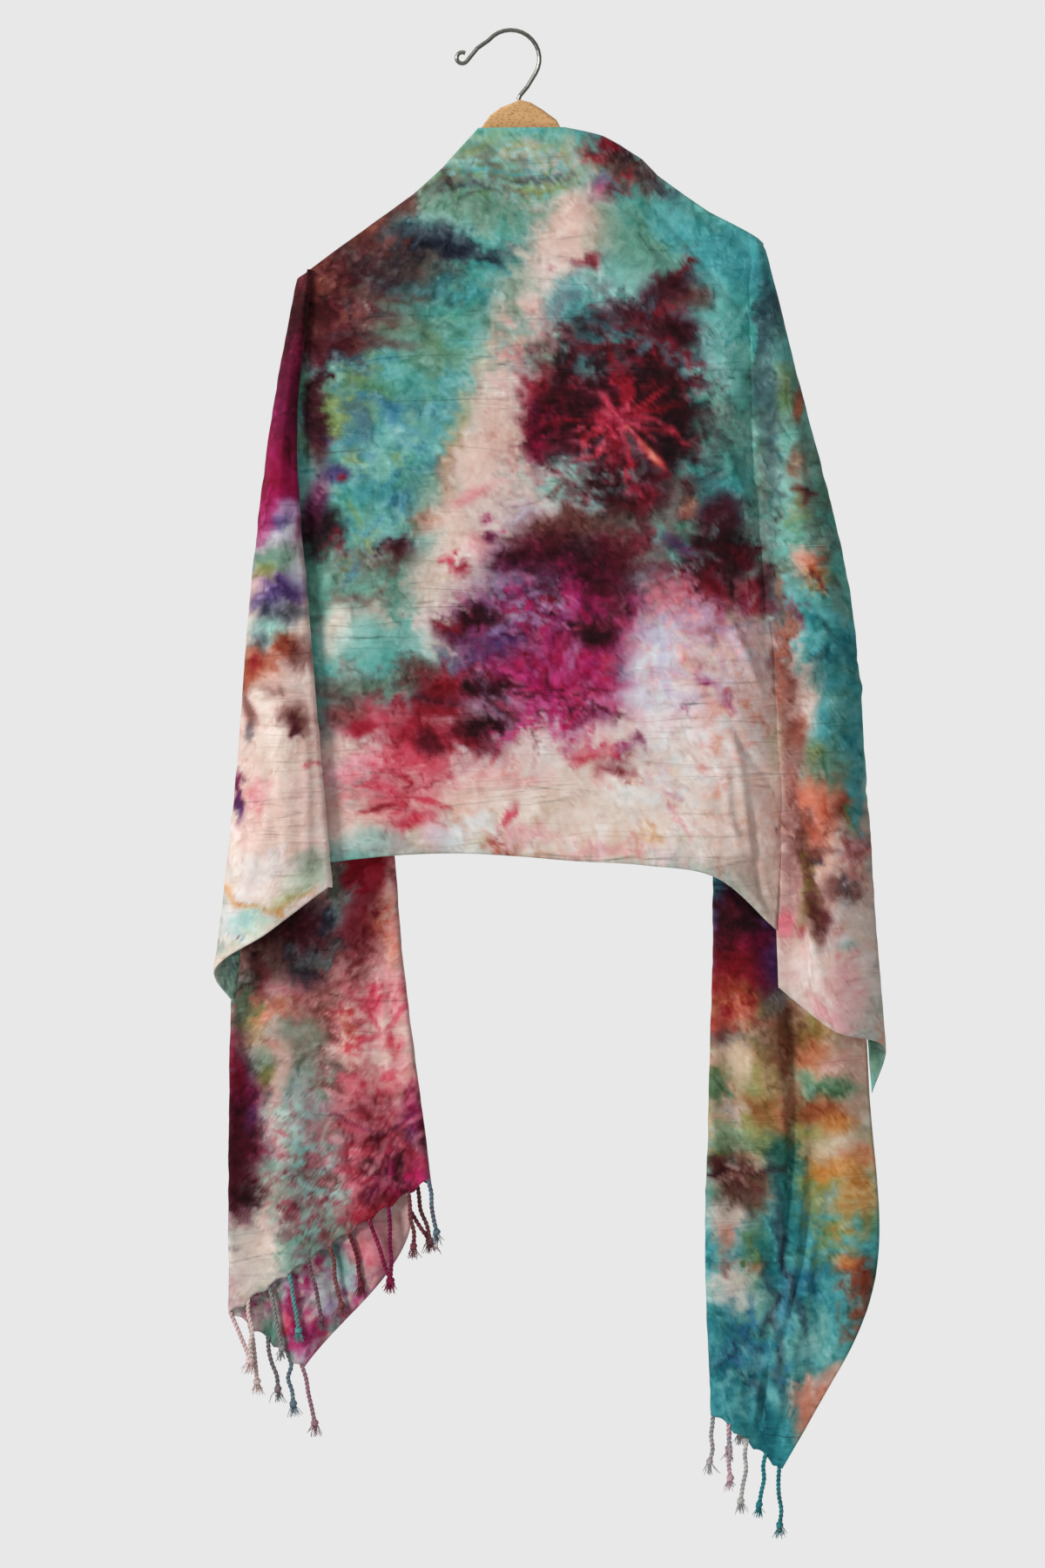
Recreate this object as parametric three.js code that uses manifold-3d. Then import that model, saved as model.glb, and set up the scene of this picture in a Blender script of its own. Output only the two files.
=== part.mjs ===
// Fringed scarf draped over a wooden hanger, in millimetres, +Z up.
// The hanger hangs from the origin, which is the inside top of its hook; the worn back faces -Y.
import * as THREE from "three";
import Module from "manifold-3d";

const WALL = 1.2;              // thickness of the cloth
const SEAM_GAP = 0.62;         // cloth edge to fringe strip
const HOOK_RADIUS = 24.1;      // centre line of the hook's bow
const WIRE_RADIUS = 1.75;
const WOOD_HALF_THICKNESS = 5.5;
const WOOD_BELOW_CLOTH = 3.2;  // top of the wood under the ridge line of the cloth
const STRIP_HEIGHT = 4;
const CORD_SPACING = 22;
const CORD_LENGTH = 50;
const CORD_RADIUS = 1.4;
const WAVE_LENGTH = 58;        // the soft upright folds of the hanging ends
const WAVE_DEPTH = 3.6;

const COTTON = { color: 0x6f8f8d, roughness: 0.9, metalness: 0 };
const FRINGE = { color: 0xb98a86, roughness: 0.9, metalness: 0 };
const BEECH = { color: 0xc9a06c, roughness: 0.6, metalness: 0 };
const STEEL = { color: 0x8a8d90, roughness: 0.35, metalness: 1 };

// The ridge line where the cloth lies over the hanger's shoulders.
const RIDGE = [
  { x: -185, z: -214 }, { x: -166.7, z: -198.8 }, { x: -143.4, z: -181.3 },
  { x: -115.6, z: -161.5 }, { x: -80.6, z: -136 }, { x: -57.2, z: -114.8 },
  { x: -27, z: -81 }, { x: 45, z: -80.5 }, { x: 76.4, z: -88.5 }, { x: 91.7, z: -95.8 },
  { x: 109.9, z: -107.5 }, { x: 123.1, z: -121.4 }, { x: 146.4, z: -138.2 },
  { x: 166.1, z: -151.7 }, { x: 185.9, z: -161.5 }, { x: 205.6, z: -173.2 },
  { x: 225, z: -192 },
];

function ridgeHeight(x) {
  let i = 1;
  while (i < RIDGE.length - 1 && RIDGE[i].x < x) i += 1;
  const from = RIDGE[i - 1];
  const to = RIDGE[i];
  return from.z + ((to.z - from.z) * (x - from.x)) / (to.x - from.x);
}

// Points on the ridge: the back's top edge, then the front's first three stations.
const brow = (x) => [x, -8.4, ridgeHeight(x)];
const over = (x) => [x, -7, ridgeHeight(x) - 1];
const crest = (x) => [x, 0, ridgeHeight(x) + 0.8];
const rear = (x) => [x, 8.6, ridgeHeight(x) - 4.5];
const clear = (x) => [x, 24, ridgeHeight(x) - 40];

// Each row is a fold or edge of the cloth, given by the points it passes on its way down.
// A row with a turn is a doubled edge: the cloth goes round it by that much to each side in depth,
// towards +Y if it is positive. Its "out" says whether the doubled edge points to +X or -X.
const BACK_PANEL = [
  { fold: "pleat", down: [brow(-170), [-188, -14, -330], [-186, -15, -480], [-174, -16, -620], [-166, -16, -697]] },
  { fold: "left", down: [brow(-116), [-130, -17, -320], [-124, -21, -470], [-116, -18, -600], [-100, -16, -690]] },
  { fold: "left neck", down: [brow(-57), [-72, -13, -300], [-74, -15, -460], [-66, -15, -590], [-48, -15, -688]] },
  { fold: "neck", down: [brow(-27), [-24, -16, -290], [-28, -20, -450], [-20, -18, -590], [0, -17, -690]] },
  { fold: "right neck", down: [brow(45), [46, -13, -290], [44, -15, -450], [48, -15, -590], [55, -16, -694.5]] },
  { fold: "right", down: [brow(110), [112, -18, -295], [116, -20, -455], [118, -19, -600], [112, -18, -698]] },
  { fold: "lobe", down: [brow(172), [178, -24, -300], [184, -29, -470], [184, -30, -615], [171, -29, -708]] },
  { fold: "valley", down: [brow(207), [203, -13, -300], [216, -12, -470], [230, -13, -620], [222, -15, -752]] },
];
const RIGHT_WING = [
  { fold: "valley", down: [[210, -9, -181], [205.5, -14, -302], [218, -13, -472], [232, -14, -624], [234, -15, -800]] },
  { fold: "face", down: [[217, -11, -186], [226, -26, -302], [253, -31, -470], [266, -32, -640], [270, -31, -836]] },
  { fold: "side", down: [[222, -1, -195], [244, -9, -306], [284, -9, -471], [299, -9, -655], [312, -10, -850]] },
  { fold: "rear", down: [[217, 9, -198], [235, 8, -308], [266, 8, -471], [284, 7, -656], [303, 4, -889]] },
];
const LEFT_WING = [
  { fold: "pleat", down: [[-170, -10, -204], [-188.5, -15.6, -330], [-186.5, -16.6, -480], [-174.5, -17.6, -620],
    [-164, -18, -713]] },
  { fold: "edge", turn: -3.5, out: 1,
    down: [[-169, -16, -207], [-178.5, -24, -330], [-169.5, -27, -480], [-157, -28, -622], [-148, -28, -716]] },
  { fold: "face", down: [[-176, -17, -208], [-189, -31, -330], [-196, -36, -482], [-196, -38, -632], [-201, -38, -753]] },
  { fold: "side", down: [[-183.5, -2, -212], [-200.5, -10, -331], [-219, -10, -484], [-231, -10, -637], [-248, -12, -786]] },
  { fold: "rear", down: [[-179, 9, -213], [-190, 7, -332], [-205, 7, -484], [-215, 6, -640], [-231, 3, -815]] },
];
const LEFT_FRONT = [
  { fold: "neck edge", down: [over(-28), crest(-28), rear(-28), clear(-32), [-72, 26, -330], [-98, 27, -480],
    [-126, 27, -640], [-142, 27, -820], [-150, 27, -985]] },
  { fold: "neck side", down: [over(-60), crest(-60), rear(-60), clear(-64), [-104, 32, -330], [-128, 34, -480],
    [-150, 35, -640], [-166, 36, -820], [-175, 36, -989]] },
  { fold: "shoulder side", down: [over(-116), crest(-116), rear(-116), clear(-120), [-150, 27, -330],
    [-166, 28, -480], [-180, 28, -640], [-190, 28, -820], [-198, 28, -992]] },
  { fold: "hidden fold", down: [over(-172), crest(-172), rear(-172), clear(-176), [-187, 27, -330],
    [-200, 27, -480], [-210, 27, -640], [-216, 27, -820], [-220, 26.6, -994]] },
];
const LEFT_FALL = [
  { fold: "hidden fold", down: [[-178, 21.5, -262], [-187, 21.5, -335], [-200, 21.5, -480],
    [-210, 21.5, -640], [-216, 21.5, -800], [-218, 21.5, -900], [-220, 21.5, -994]] },
  { fold: "near edge", turn: -5.3, out: 1, down: [[-164, 16, -262], [-153, 16, -330], [-127, 16, -480],
    [-102, 16, -640], [-91.5, 16, -772], [-77, 16, -882], [-67.6, 16, -965]] },
  { fold: "outer fold", turn: 2.5, out: -1, down: [[-186, 13.5, -262], [-193, 13.5, -335], [-208, 13.5, -485],
    [-222, 13.5, -645], [-233.5, 13.5, -800], [-236.5, 13.5, -940], [-237.3, 13.5, -1073]] },
  { fold: "hem edge", down: [[-172, 16, -262], [-178, 16, -335], [-190, 16, -485], [-200, 16, -645],
    [-190, 16, -840], [-84, 16, -992], [-174, 16, -1122]] },
];
const RIGHT_FRONT = [
  { fold: "neck edge", down: [over(46), crest(46), rear(46), clear(56), [128, 27, -300], [164, 28, -450],
    [180, 28, -640], [182, 28, -830], [180, 28, -985]] },
  { fold: "neck side", down: [over(92), crest(92), rear(92), clear(98), [156, 38, -300], [190, 40, -450],
    [206, 41, -640], [210, 41, -830], [208, 40, -1004]] },
  { fold: "middle", down: [over(140), crest(140), rear(140), clear(144), [184, 30, -300], [212, 29, -450],
    [230, 29, -640], [236, 29, -830], [232, 29, -1022]] },
  { fold: "shoulder side", down: [over(180), crest(180), rear(180), clear(184), [208, 38, -300],
    [238, 40, -450], [256, 40, -640], [264, 40, -830], [258, 39, -1042]] },
  { fold: "hidden fold", down: [over(211), crest(211), rear(211), clear(214), [230, 28, -302],
    [260, 27, -452], [277, 27, -645], [288, 27, -840], [282, 26.6, -1062]] },
];
const RIGHT_FALL = [
  { fold: "hidden fold", down: [[214, 21, -242], [228, 21, -302], [259, 21, -452], [276, 21, -642],
    [287, 21, -840], [289, 21, -980], [282, 21, -1062]] },
  { fold: "near edge", turn: -3.5, out: -1, down: [[203, 17.5, -242], [190, 17.5, -300], [176, 17.5, -450],
    [171, 17.5, -640], [168.5, 17.5, -850], [163, 17.5, -1010], [168, 17.5, -1160]] },
  { fold: "hem edge", down: [[222, 14, -242], [236, 14, -305], [268, 14, -455], [287, 14, -645],
    [301.5, 14, -885], [305, 14, -1052], [228.5, 14, -1207]] },
];

// Upright folds shared by every layer of one hanging end, so that the layers never meet.
function endWave(x, z) {
  const reach = THREE.MathUtils.smoothstep(-z, 420, 900);
  const lean = (z + 900) * 0.09;
  return WAVE_DEPTH * reach * Math.sin((2 * Math.PI * (x + lean)) / WAVE_LENGTH);
}
const noWave = () => 0;

const sub = (a, b) => a.map((v, i) => v - b[i]);
const mix = (a, b, f) => a.map((v, i) => v + (b[i] - v) * f);
const plus = (a, b, f) => a.map((v, i) => v + b[i] * f);
const span = (a, b) => Math.max(Math.hypot(...sub(a, b)), 1e-6);

// A smooth curve through the points, each stretch between two points cut into the given steps.
function smoothRun(points, steps) {
  const slope = points.map((point, i) => {
    const before = points[Math.max(i - 1, 0)];
    const after = points[Math.min(i + 1, points.length - 1)];
    const chord = (i > 0 ? span(before, point) : 0) + (after === point ? 0 : span(point, after));
    return sub(after, before).map((v) => v / chord);
  });
  const run = [points[0]];
  for (let i = 0; i < points.length - 1; i += 1) {
    const length = span(points[i], points[i + 1]);
    const count = typeof steps === "number" ? steps : steps(i);
    for (let j = 1; j <= count; j += 1) {
      const f = j / count;
      const g = f * f * (3 - 2 * f);
      let point = mix(points[i], points[i + 1], g);
      point = plus(point, slope[i], length * f * (1 - f) * (1 - f));
      point = plus(point, slope[i + 1], -length * f * f * (1 - f));
      run.push(point);
    }
  }
  return run;
}

// The grid of points of one stretch of cloth: rows run down, columns run across its folds.
function clothGrid(folds, rowSteps, columnSteps, wave) {
  const lines = folds.map((fold) => smoothRun(fold.down, rowSteps));
  const rows = lines[0].map((_, r) => {
    const knots = [];
    const steps = [];
    folds.forEach((fold, i) => {
      const point = lines[i][r];
      if (fold.turn) {
        const inset = point[0] - fold.out * Math.abs(fold.turn);
        const inner = [inset, point[1] - fold.turn, point[2]];
        const outer = [inset, point[1] + fold.turn, point[2]];
        knots.push(inner, point, outer);
        steps.push(columnSteps, 1, 1);
      } else {
        knots.push(point);
        steps.push(columnSteps);
      }
    });
    steps.shift();
    return smoothRun(knots, (i) => steps[i]);
  });
  return rows.map((row) => row.map(([x, y, z]) => [x, y + wave(x, z), z]));
}

// Lays the top edge of a grid exactly on the ridge, and eases the difference out further down.
function onRidge(rows, below) {
  return rows.map((row) => row.map(([x, y, z], c) => {
    const [topX, , topZ] = rows[0][c];
    const ease = Math.max(0, 1 - (topZ - z) / 160) ** 2;
    return [x, y, z + (ridgeHeight(topX) - below - topZ) * Math.min(ease, 1)];
  }));
}

function gridNormals(rows) {
  const last = rows.length - 1;
  const end = rows[0].length - 1;
  return rows.map((row, r) => row.map((_, c) => {
    const across = sub(row[Math.min(c + 1, end)], row[Math.max(c - 1, 0)]);
    const down = sub(rows[Math.min(r + 1, last)][c], rows[Math.max(r - 1, 0)][c]);
    return new THREE.Vector3(...across).cross(new THREE.Vector3(...down)).normalize().toArray();
  }));
}

// A grid of points becomes a closed wall of even thickness.
function wallGeometry(rows, thickness) {
  const normals = gridNormals(rows);
  const height = rows.length;
  const width = rows[0].length;
  const positions = [];
  for (const side of [0.5, -0.5]) {
    rows.forEach((row, r) => row.forEach((point, c) => {
      positions.push(...plus(point, normals[r][c], side * thickness));
    }));
  }
  const at = (side, r, c) => side * height * width + r * width + c;
  const index = [];
  const quad = (a, b, c, d) => index.push(a, b, c, a, c, d);
  for (let r = 0; r < height - 1; r += 1) {
    for (let c = 0; c < width - 1; c += 1) {
      quad(at(0, r, c), at(0, r, c + 1), at(0, r + 1, c + 1), at(0, r + 1, c));
      quad(at(1, r, c), at(1, r + 1, c), at(1, r + 1, c + 1), at(1, r, c + 1));
    }
  }
  for (let c = 0; c < width - 1; c += 1) {
    quad(at(0, 0, c + 1), at(0, 0, c), at(1, 0, c), at(1, 0, c + 1));
    quad(at(0, height - 1, c), at(0, height - 1, c + 1), at(1, height - 1, c + 1), at(1, height - 1, c));
  }
  for (let r = 0; r < height - 1; r += 1) {
    quad(at(0, r, 0), at(0, r + 1, 0), at(1, r + 1, 0), at(1, r, 0));
    quad(at(0, r + 1, width - 1), at(0, r, width - 1), at(1, r, width - 1), at(1, r + 1, width - 1));
  }
  return indexedGeometry(positions, index);
}

function indexedGeometry(positions, index) {
  const geometry = new THREE.BufferGeometry();
  geometry.setAttribute("position", new THREE.Float32BufferAttribute(positions, 3));
  geometry.setIndex(index);
  geometry.computeVertexNormals();
  return geometry;
}

// Rings of equal point counts joined in order, with a flat cap on the first and last ring.
function ringGeometry(rings) {
  const count = rings[0].length;
  const index = [];
  for (let i = 0; i < rings.length - 1; i += 1) {
    for (let j = 0; j < count; j += 1) {
      const next = (j + 1) % count;
      const [a, b] = [i * count + j, i * count + next];
      const [c, d] = [a + count, b + count];
      index.push(a, b, d, a, d, c);
    }
  }
  const foot = (rings.length - 1) * count;
  for (let j = 1; j < count - 1; j += 1) {
    index.push(0, j + 1, j);
    index.push(foot, foot + j, foot + j + 1);
  }
  return indexedGeometry(rings.flat(2), index);
}

// A round bar along a curve; the radius may change from one end to the other.
function barRings(points, sides, radiusAt) {
  return points.map((point, i) => {
    const before = points[Math.max(i - 1, 0)];
    const after = points[Math.min(i + 1, points.length - 1)];
    const along = new THREE.Vector3(...sub(after, before)).normalize();
    const out = new THREE.Vector3(0, 1, 0);
    out.addScaledVector(along, -out.dot(along)).normalize();
    const side = new THREE.Vector3().crossVectors(along, out);
    const ring = [];
    for (let j = 0; j < sides; j += 1) {
      const angle = (2 * Math.PI * j) / sides;
      const radius = radiusAt(i / (points.length - 1));
      const corner = new THREE.Vector3(...point);
      corner.addScaledVector(out, radius * Math.cos(angle));
      corner.addScaledVector(side, radius * Math.sin(angle));
      ring.push(corner.toArray());
    }
    return ring;
  });
}

function mesh(name, geometry, look) {
  const part = new THREE.Mesh(geometry, new THREE.MeshStandardMaterial(look));
  part.name = name;
  return part;
}

// The hanger's flat wooden body: sections from left to right. "rise" is its top above the ridge line.
const WOOD_SECTIONS = [
  { x: -170, depth: 13 }, { x: -166.7, depth: 20 }, { x: -143.4, depth: 25 }, { x: -115.6, depth: 28 },
  { x: -80.6, depth: 31 }, { x: -57.2, depth: 35 }, { x: -29.5, depth: 43 },
  { x: -17, depth: 48, rise: 10.9 }, { x: -8.3, depth: 50, rise: 17.2 }, { x: 2.6, depth: 51, rise: 21.5 },
  { x: 7, depth: 51, rise: 23.6 }, { x: 9, depth: 51, rise: 23.5 }, { x: 16.5, depth: 50, rise: 21.5 },
  { x: 26, depth: 48, rise: 15.7 }, { x: 38.4, depth: 46, rise: 6.6 }, { x: 43.5, depth: 44 },
  { x: 76.4, depth: 40 },
  { x: 91.7, depth: 37 }, { x: 109.9, depth: 34 }, { x: 123.1, depth: 31 }, { x: 146.4, depth: 28 },
  { x: 166.1, depth: 26 }, { x: 185.9, depth: 24 }, { x: 205.6, depth: 20 }, { x: 210, depth: 13 },
];
function woodGeometry() {
  const rings = WOOD_SECTIONS.map(({ x, depth, rise = -WOOD_BELOW_CLOTH }) => {
    const top = ridgeHeight(x) + rise;
    const low = ridgeHeight(x) - WOOD_BELOW_CLOTH - depth;
    const half = WOOD_HALF_THICKNESS;
    const cut = 2.4;
    return [
      [x, half, top - cut], [x, half - cut, top], [x, cut - half, top], [x, -half, top - cut],
      [x, -half, low + cut], [x, cut - half, low], [x, half - cut, low], [x, half, low + cut],
    ];
  });
  return ringGeometry(rings);
}

// The hook: a curled tip, the bow that goes over the rail, and the stem down to the wood.
function hookGeometry() {
  const points = [];
  const tip = { x: -40.6, z: -21.6, radius: 4.7 };
  for (let i = 0; i <= 10; i += 1) {
    const angle = THREE.MathUtils.degToRad(-303.5 + (265 * i) / 10);
    points.push([tip.x + tip.radius * Math.cos(angle), 0, tip.z + tip.radius * Math.sin(angle)]);
  }
  points.push([-28, 0, -13.6]);
  for (let i = 0; i <= 14; i += 1) {
    const angle = THREE.MathUtils.degToRad(140 - (172 * i) / 14);
    points.push([HOOK_RADIUS * Math.cos(angle), 0, -HOOK_RADIUS + WIRE_RADIUS + HOOK_RADIUS * Math.sin(angle)]);
  }
  points.push([13.9, 0, -45.9], [7.8, 0, -53.2], [6.4, 0, -56.6]);
  return ringGeometry(barRings(points, 8, () => WIRE_RADIUS));
}

// The lower edge of one end of the scarf, as one path round all its folds.
function edgePath(grids) {
  const path = [];
  grids.forEach((rows) => path.push(...rows[rows.length - 1]));
  return path;
}

// One end's fringe: a narrow strip under the cloth's edge, and the cords that hang from it.
async function fringeGeometry(path, solid) {
  const ribbon = [0, 1].map((row) => path.map(([x, y, z]) => [x, y, z - SEAM_GAP - row * STRIP_HEIGHT]));
  const bodies = [solid.of(wallGeometry(ribbon, WALL))];
  let walked = CORD_SPACING * 0.3;
  for (let i = 1; i < path.length; i += 1) {
    const length = span(path[i - 1], path[i]);
    while (walked < length) {
      const [x, y, z] = mix(path[i - 1], path[i], walked / length);
      const sway = 3 * Math.sin(x * 0.31 + y);
      const reach = CORD_LENGTH * (0.9 + 0.14 * Math.sin(x * 0.53));
      const top = z - SEAM_GAP - STRIP_HEIGHT / 2;
      const points = [0, 0.35, 0.62, 0.7, 1].map((f) => [x + sway * f * f, y, top - reach * f]);
      const thick = (f) => CORD_RADIUS * (f > 0.4 && f < 0.8 ? 1.25 : 1);
      bodies.push(solid.of(ringGeometry(barRings(points, 4, thick))));
      walked += CORD_SPACING;
    }
    walked -= length;
  }
  return solid.join(bodies);
}

async function solidTools() {
  const wasm = await Module();
  wasm.setup();
  const { Manifold, Mesh } = wasm;
  return {
    of(geometry) {
      const vertProperties = new Float32Array(geometry.getAttribute("position").array);
      const triVerts = new Uint32Array(geometry.getIndex().array);
      return new Manifold(new Mesh({ numProp: 3, vertProperties, triVerts }));
    },
    join(bodies) {
      const { vertProperties, triVerts } = Manifold.union(bodies).getMesh();
      return indexedGeometry(Array.from(vertProperties), Array.from(triVerts));
    },
  };
}

const backPanel = onRidge(clothGrid(BACK_PANEL, 4, 3, noWave), 0);
const leftWing = clothGrid(LEFT_WING, 4, 3, noWave);
const rightWing = clothGrid(RIGHT_WING, 4, 4, noWave);
const leftFront = onRidge(clothGrid(LEFT_FRONT, (i) => (i < 3 ? 1 : 3), 3, endWave), 1);
const rightFront = onRidge(clothGrid(RIGHT_FRONT, (i) => (i < 3 ? 1 : 3), 3, endWave), 1);
const leftFall = clothGrid(LEFT_FALL, 3, 6, endWave);
const rightFall = clothGrid(RIGHT_FALL, 3, 7, endWave);

const solid = await solidTools();
const scarf = new THREE.Group();
scarf.name = "fringed_scarf_on_hanger";
scarf.add(
  mesh("back_panel", wallGeometry(backPanel, WALL), COTTON),
  mesh("left_wing", wallGeometry(leftWing, WALL), COTTON),
  mesh("right_wing", wallGeometry(rightWing, WALL), COTTON),
  mesh("left_front", wallGeometry(leftFront, WALL), COTTON),
  mesh("right_front", wallGeometry(rightFront, WALL), COTTON),
  mesh("left_fall", wallGeometry(leftFall, WALL), COTTON),
  mesh("right_fall", wallGeometry(rightFall, WALL), COTTON),
  mesh("left_fringe", await fringeGeometry(edgePath([leftFront, leftFall]), solid), FRINGE),
  mesh("right_fringe", await fringeGeometry(edgePath([rightFront, rightFall]), solid), FRINGE),
  mesh("hanger_wood", woodGeometry(), BEECH),
  mesh("hanger_hook", hookGeometry(), STEEL),
);
export default scarf;
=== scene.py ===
import math

import bpy
import numpy as np
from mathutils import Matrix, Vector


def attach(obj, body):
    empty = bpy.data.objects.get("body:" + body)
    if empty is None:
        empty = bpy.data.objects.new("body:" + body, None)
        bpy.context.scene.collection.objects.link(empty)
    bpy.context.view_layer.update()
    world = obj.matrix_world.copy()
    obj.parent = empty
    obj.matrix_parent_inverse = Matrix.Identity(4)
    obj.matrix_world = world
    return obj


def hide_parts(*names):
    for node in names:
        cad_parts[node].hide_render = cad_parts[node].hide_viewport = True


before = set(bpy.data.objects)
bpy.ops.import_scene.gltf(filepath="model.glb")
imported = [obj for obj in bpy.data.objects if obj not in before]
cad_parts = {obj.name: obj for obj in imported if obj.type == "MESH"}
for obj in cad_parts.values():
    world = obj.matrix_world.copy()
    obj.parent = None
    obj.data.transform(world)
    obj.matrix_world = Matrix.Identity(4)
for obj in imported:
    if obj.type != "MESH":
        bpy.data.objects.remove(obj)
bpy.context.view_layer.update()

MM = 0.001

# ---------------------------------------------------------------------------------------------
# Back of the drape: the middle of the scarf, light plain-weave rayon, ice-dyed after weaving. It
# lies over the hanger's shoulders at the top and hangs free down to its lower selvage. Nothing
# is sewn: the panel is one rectangle. Lengths are millimetres, +Z up, and the back faces -Y.
# ---------------------------------------------------------------------------------------------

CLOTH = 0.7            # thickness the cloth is drawn with
FINE, COARSE = 3.2, 6  # longest step between two points of a cloth that shows, and of a hidden one
RIDGE = np.array([     # x, z of the line where the cloth lies over the hanger
    (-185, -214), (-166.7, -198.8), (-143.4, -181.3), (-115.6, -161.5), (-80.6, -136),
    (-57.2, -114.8), (-27, -81), (45, -80.5), (76.4, -88.5), (91.7, -95.8), (109.9, -107.5),
    (123.1, -121.4), (146.4, -138.2), (166.1, -151.7), (185.9, -161.5), (205.6, -173.2),
    (225, -192)])


def ridge(x):
    return np.interp(x, RIDGE[:, 0], RIDGE[:, 1])


def brow(x):
    return (x, -8.4, float(ridge(x)))


# Each row is a fold or edge of the cloth: its name, its turn (None, or how far the cloth goes
# round it in depth and to which side it points), and the points it passes on its way down.
BACK_PANEL = [
    ("pleat", None, [brow(-170), (-188, -14, -330), (-186, -15, -480), (-174, -16, -620),
                     (-166, -16, -697)]),
    ("left", None, [brow(-116), (-130, -17, -320), (-124, -21, -470), (-116, -18, -600),
                    (-100, -16, -690)]),
    ("left neck", None, [brow(-57), (-72, -13, -300), (-74, -15, -460), (-66, -15, -590),
                         (-48, -15, -688)]),
    ("neck", None, [brow(-27), (-24, -16, -290), (-28, -20, -450), (-20, -18, -590), (0, -17, -690)]),
    ("right neck", None, [brow(45), (46, -13, -290), (44, -15, -450), (48, -15, -590),
                          (55, -16, -694.5)]),
    ("right", None, [brow(110), (112, -18, -295), (116, -20, -455), (118, -19, -600),
                     (112, -18, -698)]),
    ("lobe", None, [brow(172), (178, -24, -300), (184, -29, -470), (184, -30, -615),
                    (171, -29, -708)]),
    ("valley", None, [brow(207), (203, -13, -300), (216, -12, -470), (230, -13, -620),
                      (222, -15, -752)]),
]
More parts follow.
